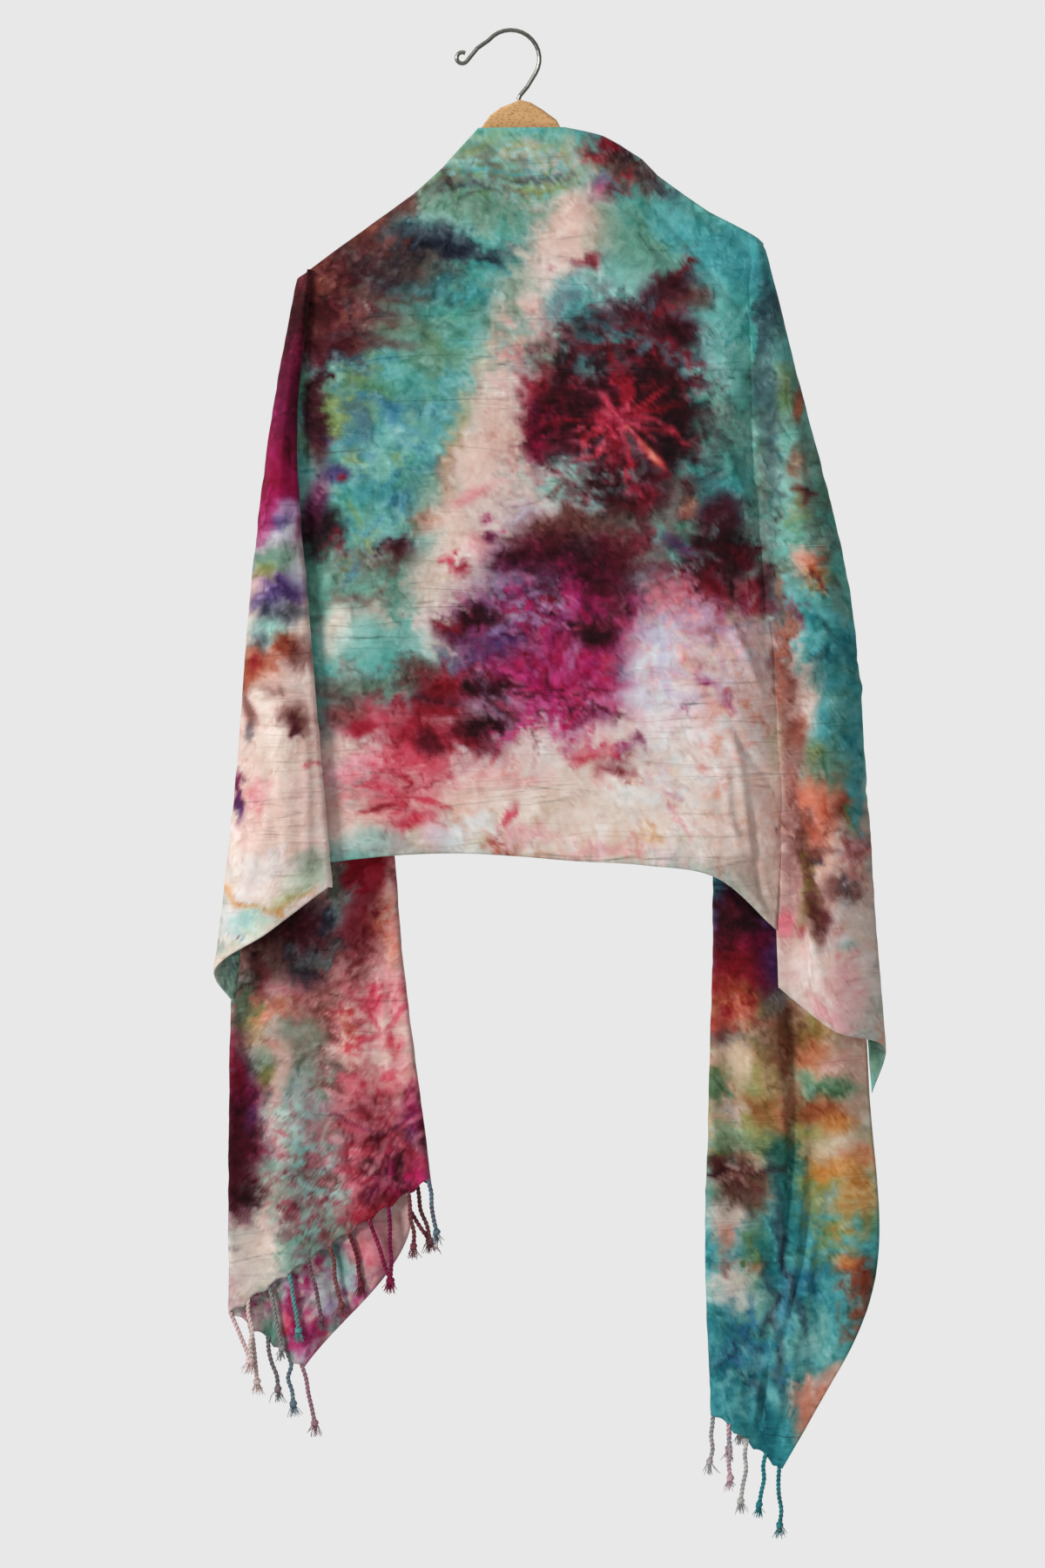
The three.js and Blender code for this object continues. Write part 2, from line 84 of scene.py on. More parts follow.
# The blots on the back and round its right side, in the order they lie over each other: most are the dye,
# and a few narrow dark ones down the valley to the right side and by its lower corner are painted shade.
# Each row gives dye, x, z, half width, half height and strength, then for some a turn in degrees, and for
# those that are broken up the size of the patches.
BACK_BLOTS = [
    ("blush", 75, -629, 191, 84, 1), ("pearl", 148, -553, 79, 73, 0.9), ("blush", 204, -598, 34, 129, 0.9),
    ("sage", -110, -317, 73, 73, 0.6), ("turquoise", -77, -367, 51, 34, 0.6),
    ("sage", -121, -463, 56, 34, 0.7), ("brown", -138, -216, 73, 34, 0.8, 20),
    ("blush", -110, -637, 73, 51, 0.9), ("sage", -9, -126, 67, 34, 0.7),
    ("olive", -99, -317, 95, 84, 0.5, 0, 14), ("teal", -99, -328, 95, 95, 0.6, 0, 17),
    ("mist", -99, -328, 95, 95, 0.6, 0, 8), ("blue", -110, -339, 67, 67, 0.4, 0, 12),
    ("brown", -127, -216, 84, 39, 0.6, 0, 12), ("slate", -88, -188, 84, 34, 0.6, 0, 14),
    ("sage", -127, -216, 73, 45, 0.5, 0, 9), ("mist", 165, -261, 73, 101, 0.6, 0, 9),
    ("teal", 165, -261, 84, 101, 0.6, 0, 18), ("sage", 120, -176, 67, 34, 0.6, 0, 12),
    ("olive", 199, -345, 34, 90, 0.3, 0, 11), ("pink", 75, -637, 191, 62, 0.5, 0, 14),
    ("ice", 75, -637, 191, 56, 0.6, 0, 11), ("orange", 75, -659, 168, 34, 0.25, 0, 10),
    ("cream", 86, -614, 168, 62, 0.6, 0, 17), ("brown", -121, -525, 62, 62, 0.5, 0, 10),
    ("mist", -121, -502, 62, 39, 0.5, 0, 9), ("rose", -110, -614, 62, 62, 0.45, 0, 13),
    ("pink", -110, -614, 67, 51, 0.5, 0, 9), ("crimson", -110, -598, 62, 51, 0.35, 0, 9),
    ("pearl", -110, -626, 67, 51, 0.6, 0, 10), ("sage", -32, -103, 22, 20, 0.7),
    ("blush", 11, -100, 16, 9, 0.85), ("sage", -9, -132, 45, 3, 0.5), ("teal", 41, -84, 34, 5, 0.7, -5),
    ("pearl", 37, -118, 25, 13, 0.8), ("mist", 33, -137, 34, 10, 0.7), ("blush", 53, -103, 8, 15, 0.6),
    ("crimson", 72, -102, 13, 11, 0.6), ("brown", 86, -117, 22, 10, 0.85, -20),
    ("crimson", 89, -98, 11, 7, 0.7, -20), ("blush", 69, -119, 6, 6, 0.8),
    ("brown", 112, -127, 19, 9, 0.8, -30), ("violet", 77, -134, 11, 9, 0.9), ("wine", 89, -138, 9, 6, 0.8),
    ("slate", 128, -137, 17, 6, 0.6, -35), ("crimson", 64, -151, 6, 6, 0.7),
    ("slate", -53, -129, 11, 8, 0.6, 30), ("deep teal", -20, -112, 8, 5, 0.4),
    ("teal", -40, -119, 17, 6, 0.5), ("mist", 2, -109, 73, 34, 0.7, 0, 7),
    ("olive", -9, -115, 67, 34, 0.4, 0, 6), ("brown", -26, -126, 62, 28, 0.4, 0, 5),
    ("mist", -26, -110, 26, 2, 0.7), ("slate", 19, -127, 34, 2, 0.6, 2), ("sage", -9, -143, 51, 3, 0.7),
    ("pearl", 27, -144, 34, 3, 0.6), ("slate", -26, -134, 39, 2, 0.6, -3), ("olive", 30, -134, 28, 2, 0.6),
    ("teal", 2, -121, 45, 2, 0.7), ("rose", 69, -105, 12, 3, 0.8), ("wine", 93, -109, 17, 3, 0.7, -10),
    ("crimson", 82, -96, 11, 3, 0.7, -8), ("fuchsia", 77, -134, 5, 4, 0.6),
    ("rose", 98, -127, 12, 2, 0.6, -15), ("rust", -160, -208, 21, 15, 0.75, 25),
    ("brown", -102, -153, 39, 10, 0.85, 22), ("rust", -127, -165, 22, 7, 0.6, 25),
    ("slate", -74, -178, 51, 12, 0.8, -8), ("navy", -54, -185, 39, 6, 0.85, -8),
    ("rust", -110, -180, 22, 5, 0.7, -8), ("slate", -15, -185, 22, 8, 0.6, 10),
    ("sage", -63, -142, 17, 9, 0.75), ("brown", -79, -148, 8, 9, 0.6), ("sage", -32, -154, 34, 10, 0.7),
    ("wine", -166, -249, 37, 22, 0.8, 20), ("brown", -133, -244, 51, 15, 0.8, 10),
    ("wine", -144, -261, 28, 10, 0.6, 10), ("rust", -178, -223, 13, 10, 0.6, 30),
    ("sage", -88, -249, 39, 9, 0.7), ("brown", -110, -261, 28, 5, 0.6, -6),
    ("teal", -54, -217, 56, 7, 0.75, -4), ("turquoise", -65, -233, 45, 7, 0.6),
    ("rust", -150, -233, 22, 3, 0.5, -8), ("slate", -116, -205, 34, 4, 0.6, -8),
    ("mist", -9, -224, 9, 31, 0.75, -28), ("teal", -9, -196, 17, 9, 0.7),
    ("olive", -16, -261, 7, 22, 0.45, -20), ("olive", -121, -296, 25, 11, 0.5, -20),
    ("olive", -150, -322, 11, 15, 0.55), ("blue", -129, -284, 9, 8, 0.5), ("mist", -74, -339, 25, 19, 0.5),
    ("turquoise", -91, -294, 25, 16, 0.7), ("sage", -65, -272, 28, 11, 0.6),
    ("blue", -110, -314, 15, 7, 0.35, -30), ("slate", -141, -273, 13, 7, 0.6),
    ("violet", -152, -370, 11, 8, 0.8), ("crimson", -147, -374, 4, 4, 0.7),
    ("violet", -157, -339, 9, 4, 0.5, 30), ("slate", -127, -328, 7, 15, 0.35, 20),
    ("blue", -96, -400, 12, 9, 0.4), ("teal", -121, -390, 28, 11, 0.5), ("mist", -110, -367, 13, 8, 0.4),
    ("sage", -63, -390, 25, 19, 0.6), ("rust", -75, -416, 13, 10, 0.6),
    ("rust", -53, -379, 6, 22, 0.45, -6), ("olive", -43, -339, 6, 34, 0.5, -8),
    ("rust", -44, -356, 4, 17, 0.4), ("rust", -28, -296, 4, 13, 0.45), ("mist", -116, -424, 22, 12, 0.6),
    ("turquoise", -133, -412, 15, 17, 0.6), ("wine", -165, -317, 9, 45, 0.8),
    ("black wine", -160, -422, 19, 19, 0.8), ("plum", -166, -395, 10, 22, 0.7),
    ("crimson", -144, -435, 9, 6, 0.6), ("wine", -96, -435, 13, 8, 0.8), ("brown", -110, -446, 34, 9, 0.5),
    ("rust", -64, -410, 8, 8, 0.6), ("blush", 59, -154, 31, 19, 0.9, 35),
    ("blush", 41, -191, 42, 33, 1, 52), ("blush", 17, -244, 47, 37, 1, 62),
    ("blush", 0, -306, 47, 35, 1, 72), ("pearl", 30, -196, 26, 12, 0.6, 50),
    ("pearl", 9, -300, 39, 12, 0.6, 70), ("pink", 19, -261, 34, 34, 0.4, 0, 8),
    ("sage", -4, -221, 34, 34, 0.5, 60, 9), ("mist", 13, -261, 39, 39, 0.5, 60, 7),
    ("blush", -15, -362, 43, 35, 1, 80), ("blush", -37, -418, 40, 36, 0.95, 60),
    ("pearl", 10, -401, 45, 42, 1), ("pearl", -32, -345, 28, 8, 0.4, 75), ("blush", -9, -367, 30, 28, 0.7),
    ("blush", -60, -468, 26, 31, 0.85), ("cream", -62, -503, 17, 19, 0.9),
    ("pearl", -32, -463, 17, 28, 0.8), ("crimson", 27, -193, 4, 3, 0.5),
    ("pink", -32, -390, 22, 6, 0.5, 20), ("pink", -26, -435, 12, 11, 0.5),
    ("lavender", -9, -452, 12, 22, 0.7, 10), ("lavender", 14, -412, 11, 17, 0.6),
    ("magenta", -18, -412, 6, 3, 0.8, 40), ("plum", -16, -427, 7, 5, 0.85),
    ("magenta", -6, -419, 4, 3, 0.6), ("crimson", -47, -448, 9, 4, 0.8, -30),
    ("rose", -54, -443, 6, 4, 0.7), ("blush", 75, -171, 17, 17, 0.6), ("sage", 109, -182, 34, 22, 0.6, -30),
    ("crimson", 69, -197, 11, 5, 0.6, 20), ("teal", 53, -227, 22, 19, 0.7, 50),
    ("mist", 86, -223, 22, 22, 0.6, 40), ("slate", 65, -261, 15, 34, 0.5, -40),
    ("sage", 30, -272, 17, 15, 0.5), ("teal", 142, -165, 28, 13, 0.7, -30),
    ("teal", 182, -188, 39, 28, 0.85, -35), ("teal", 210, -233, 22, 45, 0.75),
    ("turquoise", 176, -244, 28, 34, 0.7), ("mist", 165, -289, 26, 17, 0.5, -20),
    ("turquoise", 193, -311, 26, 45, 0.7), ("mist", 193, -345, 17, 22, 0.4),
    ("sage", 165, -339, 28, 28, 0.5), ("slate", 222, -238, 11, 22, 0.6), ("teal", 176, -379, 25, 28, 0.6),
    ("deep teal", 193, -266, 22, 2, 0.5, -40), ("deep teal", 154, -272, 22, 2, 0.3, 50),
    ("crimson", 140, -194, 15, 5, 0.8, 55), ("wine", 128, -213, 24, 13, 0.85, 25),
    ("brown", 148, -223, 17, 10, 0.7), ("wine", 118, -244, 28, 17, 0.9, -10),
    ("black wine", 136, -256, 22, 9, 0.8, -15), ("crimson", 128, -230, 15, 4, 0.7, 20),
    ("wine", 113, -273, 25, 13, 0.95), ("black wine", 112, -269, 15, 8, 0.8),
    ("crimson", 142, -273, 22, 4, 0.7, -5), ("wine", 141, -291, 22, 8, 0.9, -6),
    ("crimson", 137, -300, 17, 3, 0.6, 15), ("black wine", 120, -297, 25, 16, 0.85),
    ("crimson", 26, -322, 16, 34, 0.95, 8), ("plum", 18, -328, 8, 20, 0.8),
    ("black wine", 22, -322, 6, 17, 0.7), ("black wine", 46, -306, 17, 25, 0.95, -10),
    ("wine", 53, -339, 17, 28, 0.9), ("magenta", 29, -339, 12, 20, 0.7), ("wine", 86, -317, 45, 28, 0.85),
    ("black wine", 64, -317, 17, 11, 0.8, -20), ("black wine", 131, -325, 19, 22, 0.9),
    ("black wine", 133, -348, 17, 19, 0.85, 30), ("black wine", 83, -367, 20, 19, 0.9),
    ("wine", 120, -367, 17, 15, 0.8), ("wine", 103, -390, 25, 28, 0.9, 20),
    ("black wine", 86, -390, 11, 22, 0.7), ("crimson", 112, -407, 8, 22, 0.6, 10),
    ("brown", 137, -390, 17, 15, 0.6), ("brown", 86, -412, 22, 11, 0.5), ("mist", 58, -367, 5, 13, 0.5),
    ("sage", 53, -384, 22, 11, 0.6), ("sage", 148, -418, 34, 13, 0.7, -20), ("coral", 149, -400, 8, 8, 0.6),
    ("wine", 176, -404, 19, 17, 0.85, 40), ("slate", 193, -424, 15, 17, 0.5),
    ("black wine", 173, -435, 28, 19, 0.9), ("wine", 193, -446, 22, 12, 0.8, 30),
    ("black wine", 171, -463, 19, 17, 0.85), ("violet", 142, -430, 15, 6, 0.6, -30),
    ("wine", 165, -480, 13, 28, 0.85), ("crimson", 203, -468, 19, 8, 0.85, 10),
    ("crimson", 208, -483, 17, 7, 0.8, -15), ("blush", 199, -476, 13, 3, 0.6, 20),
    ("wine", 218, -468, 9, 22, 0.8), ("black wine", 165, -508, 6, 15, 0.7),
    ("crimson", 86, -328, 73, 95, 0.5, 0, 9), ("black wine", 92, -328, 73, 90, 0.6, 0, 8),
    ("mist", 69, -379, 67, 22, 0.5, 0, 8), ("crimson", 171, -457, 51, 39, 0.5, 0, 9),
    ("sage", 75, -418, 39, 11, 0.5), ("brown", 47, -419, 37, 13, 0.9, 5),
    ("crimson", 98, -440, 28, 17, 0.7, -10), ("sage", 120, -446, 17, 7, 0.6),
    ("crimson", 142, -468, 28, 15, 0.6), ("pink", 137, -485, 28, 15, 0.6),
    ("wine", 19, -439, 31, 15, 0.95, 10), ("black wine", 3, -446, 20, 10, 0.95, 10),
    ("wine", 64, -451, 34, 19, 0.85), ("black wine", 47, -443, 17, 7, 0.7),
    ("magenta", 30, -519, 62, 56, 0.95), ("plum", 61, -485, 36, 34, 0.9), ("plum", 81, -519, 19, 30, 0.85),
    ("wine", 86, -480, 22, 19, 0.8, 30), ("black wine", 47, -490, 16, 8, 0.9, -20),
    ("black wine", 68, -507, 13, 9, 0.9, -40), ("black wine", 41, -468, 11, 7, 0.8, 40),
    ("black wine", 26, -463, 9, 7, 0.7), ("fuchsia", 36, -533, 36, 25, 0.9),
    ("fuchsia", 16, -498, 19, 13, 0.8), ("fuchsia", 47, -525, 28, 22, 0.6), ("rose", 30, -525, 15, 11, 0.5),
    ("magenta", 41, -553, 28, 12, 0.7, 10), ("lavender", 2, -480, 13, 15, 0.7),
    ("wine", -34, -492, 25, 11, 0.9, 10), ("crimson", -47, -495, 8, 6, 0.8),
    ("black wine", -26, -489, 9, 5, 0.7), ("violet", -14, -509, 17, 9, 0.8),
    ("violet", -26, -525, 22, 8, 0.6, 10), ("plum", 8, -541, 17, 17, 0.7),
    ("crimson", -34, -544, 34, 11, 0.9, -8), ("black wine", -23, -552, 22, 10, 0.9, -10),
    ("wine", -51, -559, 28, 12, 0.9), ("crimson", -60, -547, 15, 9, 0.8),
    ("black wine", -23, -581, 25, 10, 0.85, 15), ("wine", -17, -593, 22, 13, 0.9, -20),
    ("crimson", -46, -588, 25, 8, 0.85, 10), ("crimson", -54, -572, 17, 6, 0.8),
    ("lavender", 22, -570, 13, 6, 0.7, 20), ("plum", 86, -553, 8, 13, 0.8, 20),
    ("plum", 67, -580, 15, 9, 0.8, 20), ("magenta", 36, -570, 15, 8, 0.7), ("violet", 98, -528, 8, 17, 0.6),
    ("pearl", 8, -581, 9, 4, 0.6), ("rose", 26, -588, 6, 5, 0.7),
    ("black wine", 47, -491, 73, 51, 0.5, 0, 10), ("fuchsia", 41, -513, 73, 62, 0.9, 0, 13),
    ("violet", 19, -502, 67, 51, 0.35, 0, 10), ("rose", 41, -525, 62, 51, 0.5, 0, 7),
    ("lavender", 8, -485, 39, 28, 0.7, 0, 7), ("crimson", -32, -570, 45, 39, 0.5, 0, 9),
    ("lavender", 30, -558, 84, 51, 0.35, 0, 7), ("ice", 123, -525, 28, 30, 0.9),
    ("ice", 109, -558, 28, 9, 0.7), ("blush", 154, -519, 17, 28, 0.7, 10),
    ("lavender", 159, -491, 6, 22, 0.6, 20), ("lavender", 137, -508, 9, 15, 0.5),
    ("magenta", 173, -554, 4, 16, 0.85, 40), ("plum", 181, -559, 6, 4, 0.8),
    ("plum", 172, -488, 3, 19, 0.7, 14), ("pearl", 193, -525, 17, 28, 0.6),
    ("magenta", 142, -570, 7, 2, 0.6), ("plum", 99, -598, 12, 4, 0.85, 45),
    ("magenta", 89, -603, 8, 3, 0.7, 45), ("rose", 72, -608, 17, 7, 0.7, 10),
    ("crimson", 86, -621, 13, 6, 0.6), ("brown", 98, -612, 28, 8, 0.35, 10),
    ("magenta", 53, -602, 7, 6, 0.5), ("plum", 193, -480, 6, 9, 0.6), ("violet", 185, -502, 17, 3, 0.4, 10),
    ("pink", 154, -513, 62, 56, 0.5, 0, 11), ("lavender", 154, -519, 62, 62, 0.5, 0, 9),
    ("coral", 187, -581, 34, 101, 0.35, 0, 13), ("cream", -143, -507, 15, 25, 0.95),
    ("cream", -113, -492, 12, 17, 0.7), ("brown", -127, -481, 22, 4, 0.4),
    ("mist", -105, -513, 37, 16, 0.85), ("turquoise", -121, -525, 28, 8, 0.6),
    ("brown", -138, -550, 28, 8, 0.6), ("sage", -116, -546, 34, 7, 0.7), ("brown", -77, -536, 22, 11, 0.6),
    ("rose", -110, -572, 34, 11, 0.7), ("pearl", -91, -572, 8, 7, 0.8), ("brown", -141, -570, 17, 11, 0.6),
    ("crimson", -127, -581, 12, 6, 0.8, 20), ("crimson", -84, -584, 19, 19, 0.8),
    ("crimson", -96, -556, 8, 6, 0.7), ("rose", -88, -609, 28, 15, 0.8), ("wine", -74, -595, 12, 9, 0.7),
    ("pink", -127, -612, 28, 12, 0.8, 20), ("blush", -144, -598, 17, 11, 0.8),
    ("pink", -88, -637, 31, 17, 0.85), ("crimson", -96, -625, 20, 7, 0.6, 10),
    ("rose", -110, -648, 17, 15, 0.7, 30), ("blush", -133, -659, 25, 22, 0.9),
    ("rose", -82, -662, 19, 7, 0.7, 20), ("mist", -121, -681, 28, 9, 0.5), ("pink", -64, -671, 8, 11, 0.7),
    ("pearl", 19, -600, 34, 9, 0.7), ("pink", -9, -629, 39, 7, 0.5), ("blush", -26, -643, 45, 17, 0.7),
    ("cream", 47, -654, 67, 26, 0.8), ("ice", -54, -676, 17, 11, 0.7), ("ice", -26, -665, 13, 8, 0.6),
    ("rose", -6, -657, 4, 12, 0.75, -20), ("rust", -9, -683, 13, 4, 0.7), ("crimson", -14, -674, 4, 3, 0.7),
    ("pink", 13, -671, 22, 8, 0.4), ("cream", 120, -665, 39, 22, 0.7), ("ice", 109, -643, 22, 9, 0.6),
    ("pink", 146, -665, 3, 11, 0.8, 40), ("rose", 140, -652, 4, 4, 0.7), ("orange", 120, -676, 13, 6, 0.35),
    ("magenta", 142, -641, 8, 2, 0.5), ("blush", 171, -665, 17, 28, 0.8), ("pink", 86, -687, 39, 4, 0.4),
    # Narrow slate, black wine and brown blots down the valley between the back and the right side: painted
    # shade in the valley, partly the dye's own staining there.
    ("slate", 208, -261, 5, 51, 0.6), ("slate", 211, -339, 5, 45, 0.6),
    ("black wine", 215, -407, 4, 34, 0.7, 3), ("black wine", 222, -463, 5, 34, 0.75, 8),
    ("brown", 224, -525, 6, 51, 0.75), ("brown", 228, -598, 4, 34, 0.4, 5),
    ("slate", 205, -300, 4, 34, 0.5), ("mist", 218, -339, 11, 22, 0.5), ("sage", 208, -367, 7, 34, 0.6, 4),
    ("brown", 213, -390, 4, 25, 0.6, 4), ("rust", 237, -322, 6, 17, 0.7), ("brown", 241, -367, 8, 13, 0.6),
    ("turquoise", 224, -407, 13, 34, 0.7), ("wine", 220, -446, 4, 22, 0.7),
    ("brown", 222, -513, 5, 34, 0.8), ("dusk", 218, -637, 8, 62, 0.7), ("olive", 220, -614, 6, 34, 0.4),
    ("rust", 226, -558, 7, 17, 0.7), ("sage", 215, -435, 8, 9, 0.5),
    ("black wine", -23, -552, 20, 8, 0.9, -10), ("black wine", -26, -581, 20, 8, 0.85, 15),
    ("black wine", -26, -492, 15, 6, 0.7, 10), ("black wine", 69, -503, 15, 11, 0.8, -30),
    ("magenta", 41, -525, 26, 19, 0.5), ("pearl", 165, -614, 67, 67, 0.8, 0, 12),
    ("ice", 154, -614, 67, 67, 0.5, 0, 9), ("cream", 120, -631, 79, 45, 0.6, 0, 9),
    ("pink", -110, -629, 45, 26, 0.45), ("mist", -133, -631, 22, 22, 0.4, 0, 8),
    ("black wine", 120, -348, 13, 19, 0.7, 20), ("black wine", 65, -322, 15, 22, 0.7, -10),
    ("crimson", 90, -331, 19, 16, 0.95), ("crimson", 93, -307, 5, 22, 0.9, 5),
    ("rose", 111, -354, 24, 5, 0.9, -48), ("coral", 115, -360, 12, 3, 0.9, -48),
    ("rose", 121, -337, 26, 4, 0.8, -8), ("rose", 71, -349, 20, 4, 0.8, 35),
    ("rose", 86, -356, 5, 15, 0.6, -10), ("fuchsia", 91, -334, 11, 9, 0.9),
    ("coral", 95, -339, 6, 3, 0.8, -40), ("brown", -157, -218, 32, 44, 0.6, -20),
    ("wine", -165, -229, 32, 44, 0.55, 0, 9), ("brown", -114, -185, 58, 22, 0.45, -28),
    ("wine", -136, -192, 44, 22, 0.45, -28, 9), ("slate", -100, -192, 51, 18, 0.4, 20, 9),
    ("blush", 265, -747, 80, 124, 0.95), ("turquoise", 251, -338, 44, 95, 0.7),
    ("sage", 244, -353, 44, 110, 0.7, 0, 10), ("brown", 244, -382, 36, 88, 0.4, 0, 8),
    ("sage", 247, -382, 22, 88, 0.5, -10), ("mist", 233, -353, 16, 44, 0.5),
    ("mist", 222, -280, 12, 29, 0.5), ("rust", 241, -315, 5, 16, 0.7, -10), ("coral", 241, -318, 4, 9, 0.5),
    ("olive", 229, -302, 7, 19, 0.4), ("rust", 239, -360, 7, 10, 0.5), ("brown", 249, -383, 9, 7, 0.8, -20),
    ("wine", 252, -381, 5, 4, 0.7), ("olive", 246, -404, 6, 22, 0.4), ("turquoise", 240, -433, 18, 22, 0.6),
    ("coral", 254, -448, 14, 15, 0.9), ("blush", 247, -440, 9, 9, 0.6), ("orange", 262, -461, 10, 10, 0.8),
    ("crimson", 264, -464, 4, 9, 0.7, 20), ("rust", 276, -477, 7, 15, 0.5), ("mist", 233, -470, 7, 15, 0.5),
    ("teal", 262, -499, 40, 29, 0.9, -30), ("deep teal", 265, -506, 44, 4, 0.7, -32),
    ("deep teal", 258, -522, 36, 3, 0.6, -32), ("sage", 273, -484, 16, 7, 0.5, -20),
    ("slate", 251, -550, 13, 25, 0.6, -10), ("deep teal", 280, -535, 19, 29, 0.7),
    ("teal", 273, -579, 32, 44, 0.9), ("deep teal", 280, -594, 29, 3, 0.6, -35),
    ("sage", 273, -550, 44, 80, 0.4, 0, 10), ("blush", 242, -566, 12, 26, 0.9),
    ("blush", 229, -528, 9, 36, 0.7), ("rust", 235, -592, 8, 15, 0.75), ("rust", 227, -499, 5, 44, 0.6, -4),
    ("brown", 229, -535, 4, 44, 0.5), ("crimson", 240, -488, 7, 7, 0.6), ("mist", 265, -566, 7, 6, 0.6),
    ("sage", 260, -619, 22, 18, 0.85), ("olive", 251, -608, 10, 7, 0.4), ("teal", 291, -652, 9, 44, 0.9),
    ("blush", 229, -630, 15, 32, 0.7), ("coral", 254, -641, 22, 16, 0.8, -20),
    ("rust", 281, -645, 7, 10, 0.7), ("olive", 287, -656, 4, 12, 0.5),
    ("blush", 269, -674, 25, 16, 0.85, -20), ("coral", 254, -667, 16, 12, 0.7, -20),
    ("brown", 247, -663, 9, 10, 0.6, 30), ("pink", 291, -689, 12, 18, 0.7), ("rust", 265, -652, 7, 5, 0.5),
    ("coral", 265, -674, 44, 51, 0.5, 0, 12), ("brown", 265, -696, 36, 44, 0.5, 0, 9),
    ("brown", 252, -689, 7, 7, 0.7), ("slate", 255, -692, 4, 4, 0.7), ("blush", 265, -707, 19, 13, 0.7),
    ("brown", 276, -714, 16, 9, 0.8, -20), ("slate", 280, -712, 7, 6, 0.6),
    ("brown", 251, -732, 12, 19, 0.85, -20), ("wine", 258, -746, 7, 12, 0.7, -20),
    # Of the next two lines, the brown at x 233 and the olive at x 238 are painted shade on the shaded side
    # of the fold at the valley's lower end.
    ("slate", 284, -729, 9, 5, 0.5), ("brown", 233, -696, 5, 29, 0.5, -8),
    ("olive", 238, -740, 7, 25, 0.45, -5), ("cream", 291, -747, 19, 20, 0.8),
    ("blush", 265, -776, 35, 26, 0.95), ("pink", 265, -784, 44, 44, 0.25, 0, 12),
    ("ice", 273, -769, 44, 36, 0.4, 0, 10), ("pearl", 251, -791, 22, 19, 0.6, -30),
    ("pink", 284, -805, 16, 25, 0.3), ("pink", 269, -829, 26, 6, 0.5, -38),
    ("coral", 304, -842, 4, 15, 0.6), ("rose", 227, -748, 6, 12, 0.85), ("pink", 222, -747, 4, 7, 0.7),
    ("mist", 284, -765, 9, 5, 0.4), ("crimson", 240, -758, 4, 7, 0.4), ("dusk", 231, -711, 9, 66, 0.9, -3),
    # Of the next three lines, the browns at x 245, 254 and 233, the olive at x 248 and the slate at x 217
    # are painted shade down the valley and on the corner's fold.
    ("pink", 227, -747, 6, 12, 0.8), ("brown", 245, -696, 6, 41, 0.8, 8),
    ("olive", 248, -711, 7, 44, 0.6, 8, 6), ("brown", 254, -747, 7, 19, 0.7, 14),
    ("brown", 233, -616, 8, 80, 0.4), ("slate", 217, -316, 7, 95, 0.45, 3),
    ("sage", 340, -835, 19, 80, 0.95), ("slate", 331, -703, 19, 88, 0.6),
]


def burst(x, z, near, far, count, strength, *dyes):
    """Narrow blots that run out from one scrunched point, as the dye does when the ice melts."""
    rows = []
    for i in range(count):
        turn = 360 * i / count + 15 * math.sin(5 * i + x)
        half = (near + (far - near) * (0.5 + 0.5 * math.sin(7.3 * i + z))) / 2
        c, s = math.cos(math.radians(turn)), math.sin(math.radians(turn))
        rows.append((dyes[i % len(dyes)], x + c * half * 1.2, z + s * half * 1.2, half,
                     2.4 + math.sin(3.1 * i), strength, turn))
    return rows


BACK_BLOTS += (burst(90, -330, 26, 66, 22, 0.8, "crimson", "black wine", "wine", "rose", "black wine")
               + burst(112, -258, 16, 50, 16, 0.5, "crimson", "wine", "brown", "teal")
               + burst(88, -332, 12, 34, 9, 0.7, "rose", "crimson", "rose")
               + burst(30, -560, 20, 58, 22, 0.7, "fuchsia", "wine", "magenta", "lavender", "fuchsia")
               + burst(-14, -560, 14, 40, 11, 0.5, "lavender", "black wine", "plum")
               + burst(-130, -246, 14, 40, 12, 0.4, "brown", "slate", "wine")
               + burst(-120, -430, 12, 40, 14, 0.4, "mist", "olive", "blue", "sage")
               + burst(-90, -640, 14, 40, 13, 0.5, "rose", "crimson", "blush")
               + burst(160, -440, 12, 36, 12, 0.5, "black wine", "wine", "mist"))

DYES = {
    "teal": "#5DABB0", "turquoise": "#7CBBB4", "mist": "#A2CFC9", "deep teal": "#2A818B",
    "blue": "#4A86B0", "navy": "#262D42", "sage": "#88A796", "green": "#4E8672",
    "olive": "#A09E5A", "cream": "#E3D7CE", "blush": "#E2CCC3", "pearl": "#DFD3CF",
    "pink": "#E29AA4", "rose": "#CF4A62", "crimson": "#9E1C34", "fuchsia": "#C62A74",
    "magenta": "#A61A5F", "plum": "#741447", "violet": "#5F4A80", "wine": "#571024",
    "black wine": "#2E0813", "rust": "#A9563E", "orange": "#DE9A55", "brown": "#7B4A46",
    "slate": "#4C5561", "lavender": "#C4BAD2", "ice": "#DCE5E8", "celadon": "#D6E2D1",
    "coral": "#DC8F78", "dusk": "#CDAFAC",
}


def srgb(code):
    return np.array([int(code[i:i + 2], 16) / 255 for i in (1, 3, 5)])


def linear(shade):
    return np.where(shade <= 0.04045, shade / 12.92, ((shade + 0.055) / 1.055) ** 2.4)


def colour(code):
    """An sRGB hex value as linear red, green, blue and alpha."""
    return [float(c) for c in linear(srgb(code))] + [1.0]


def eased(share):
    """A share from 0 to 1 that starts and ends gently."""
    return share * share * (3 - 2 * share)


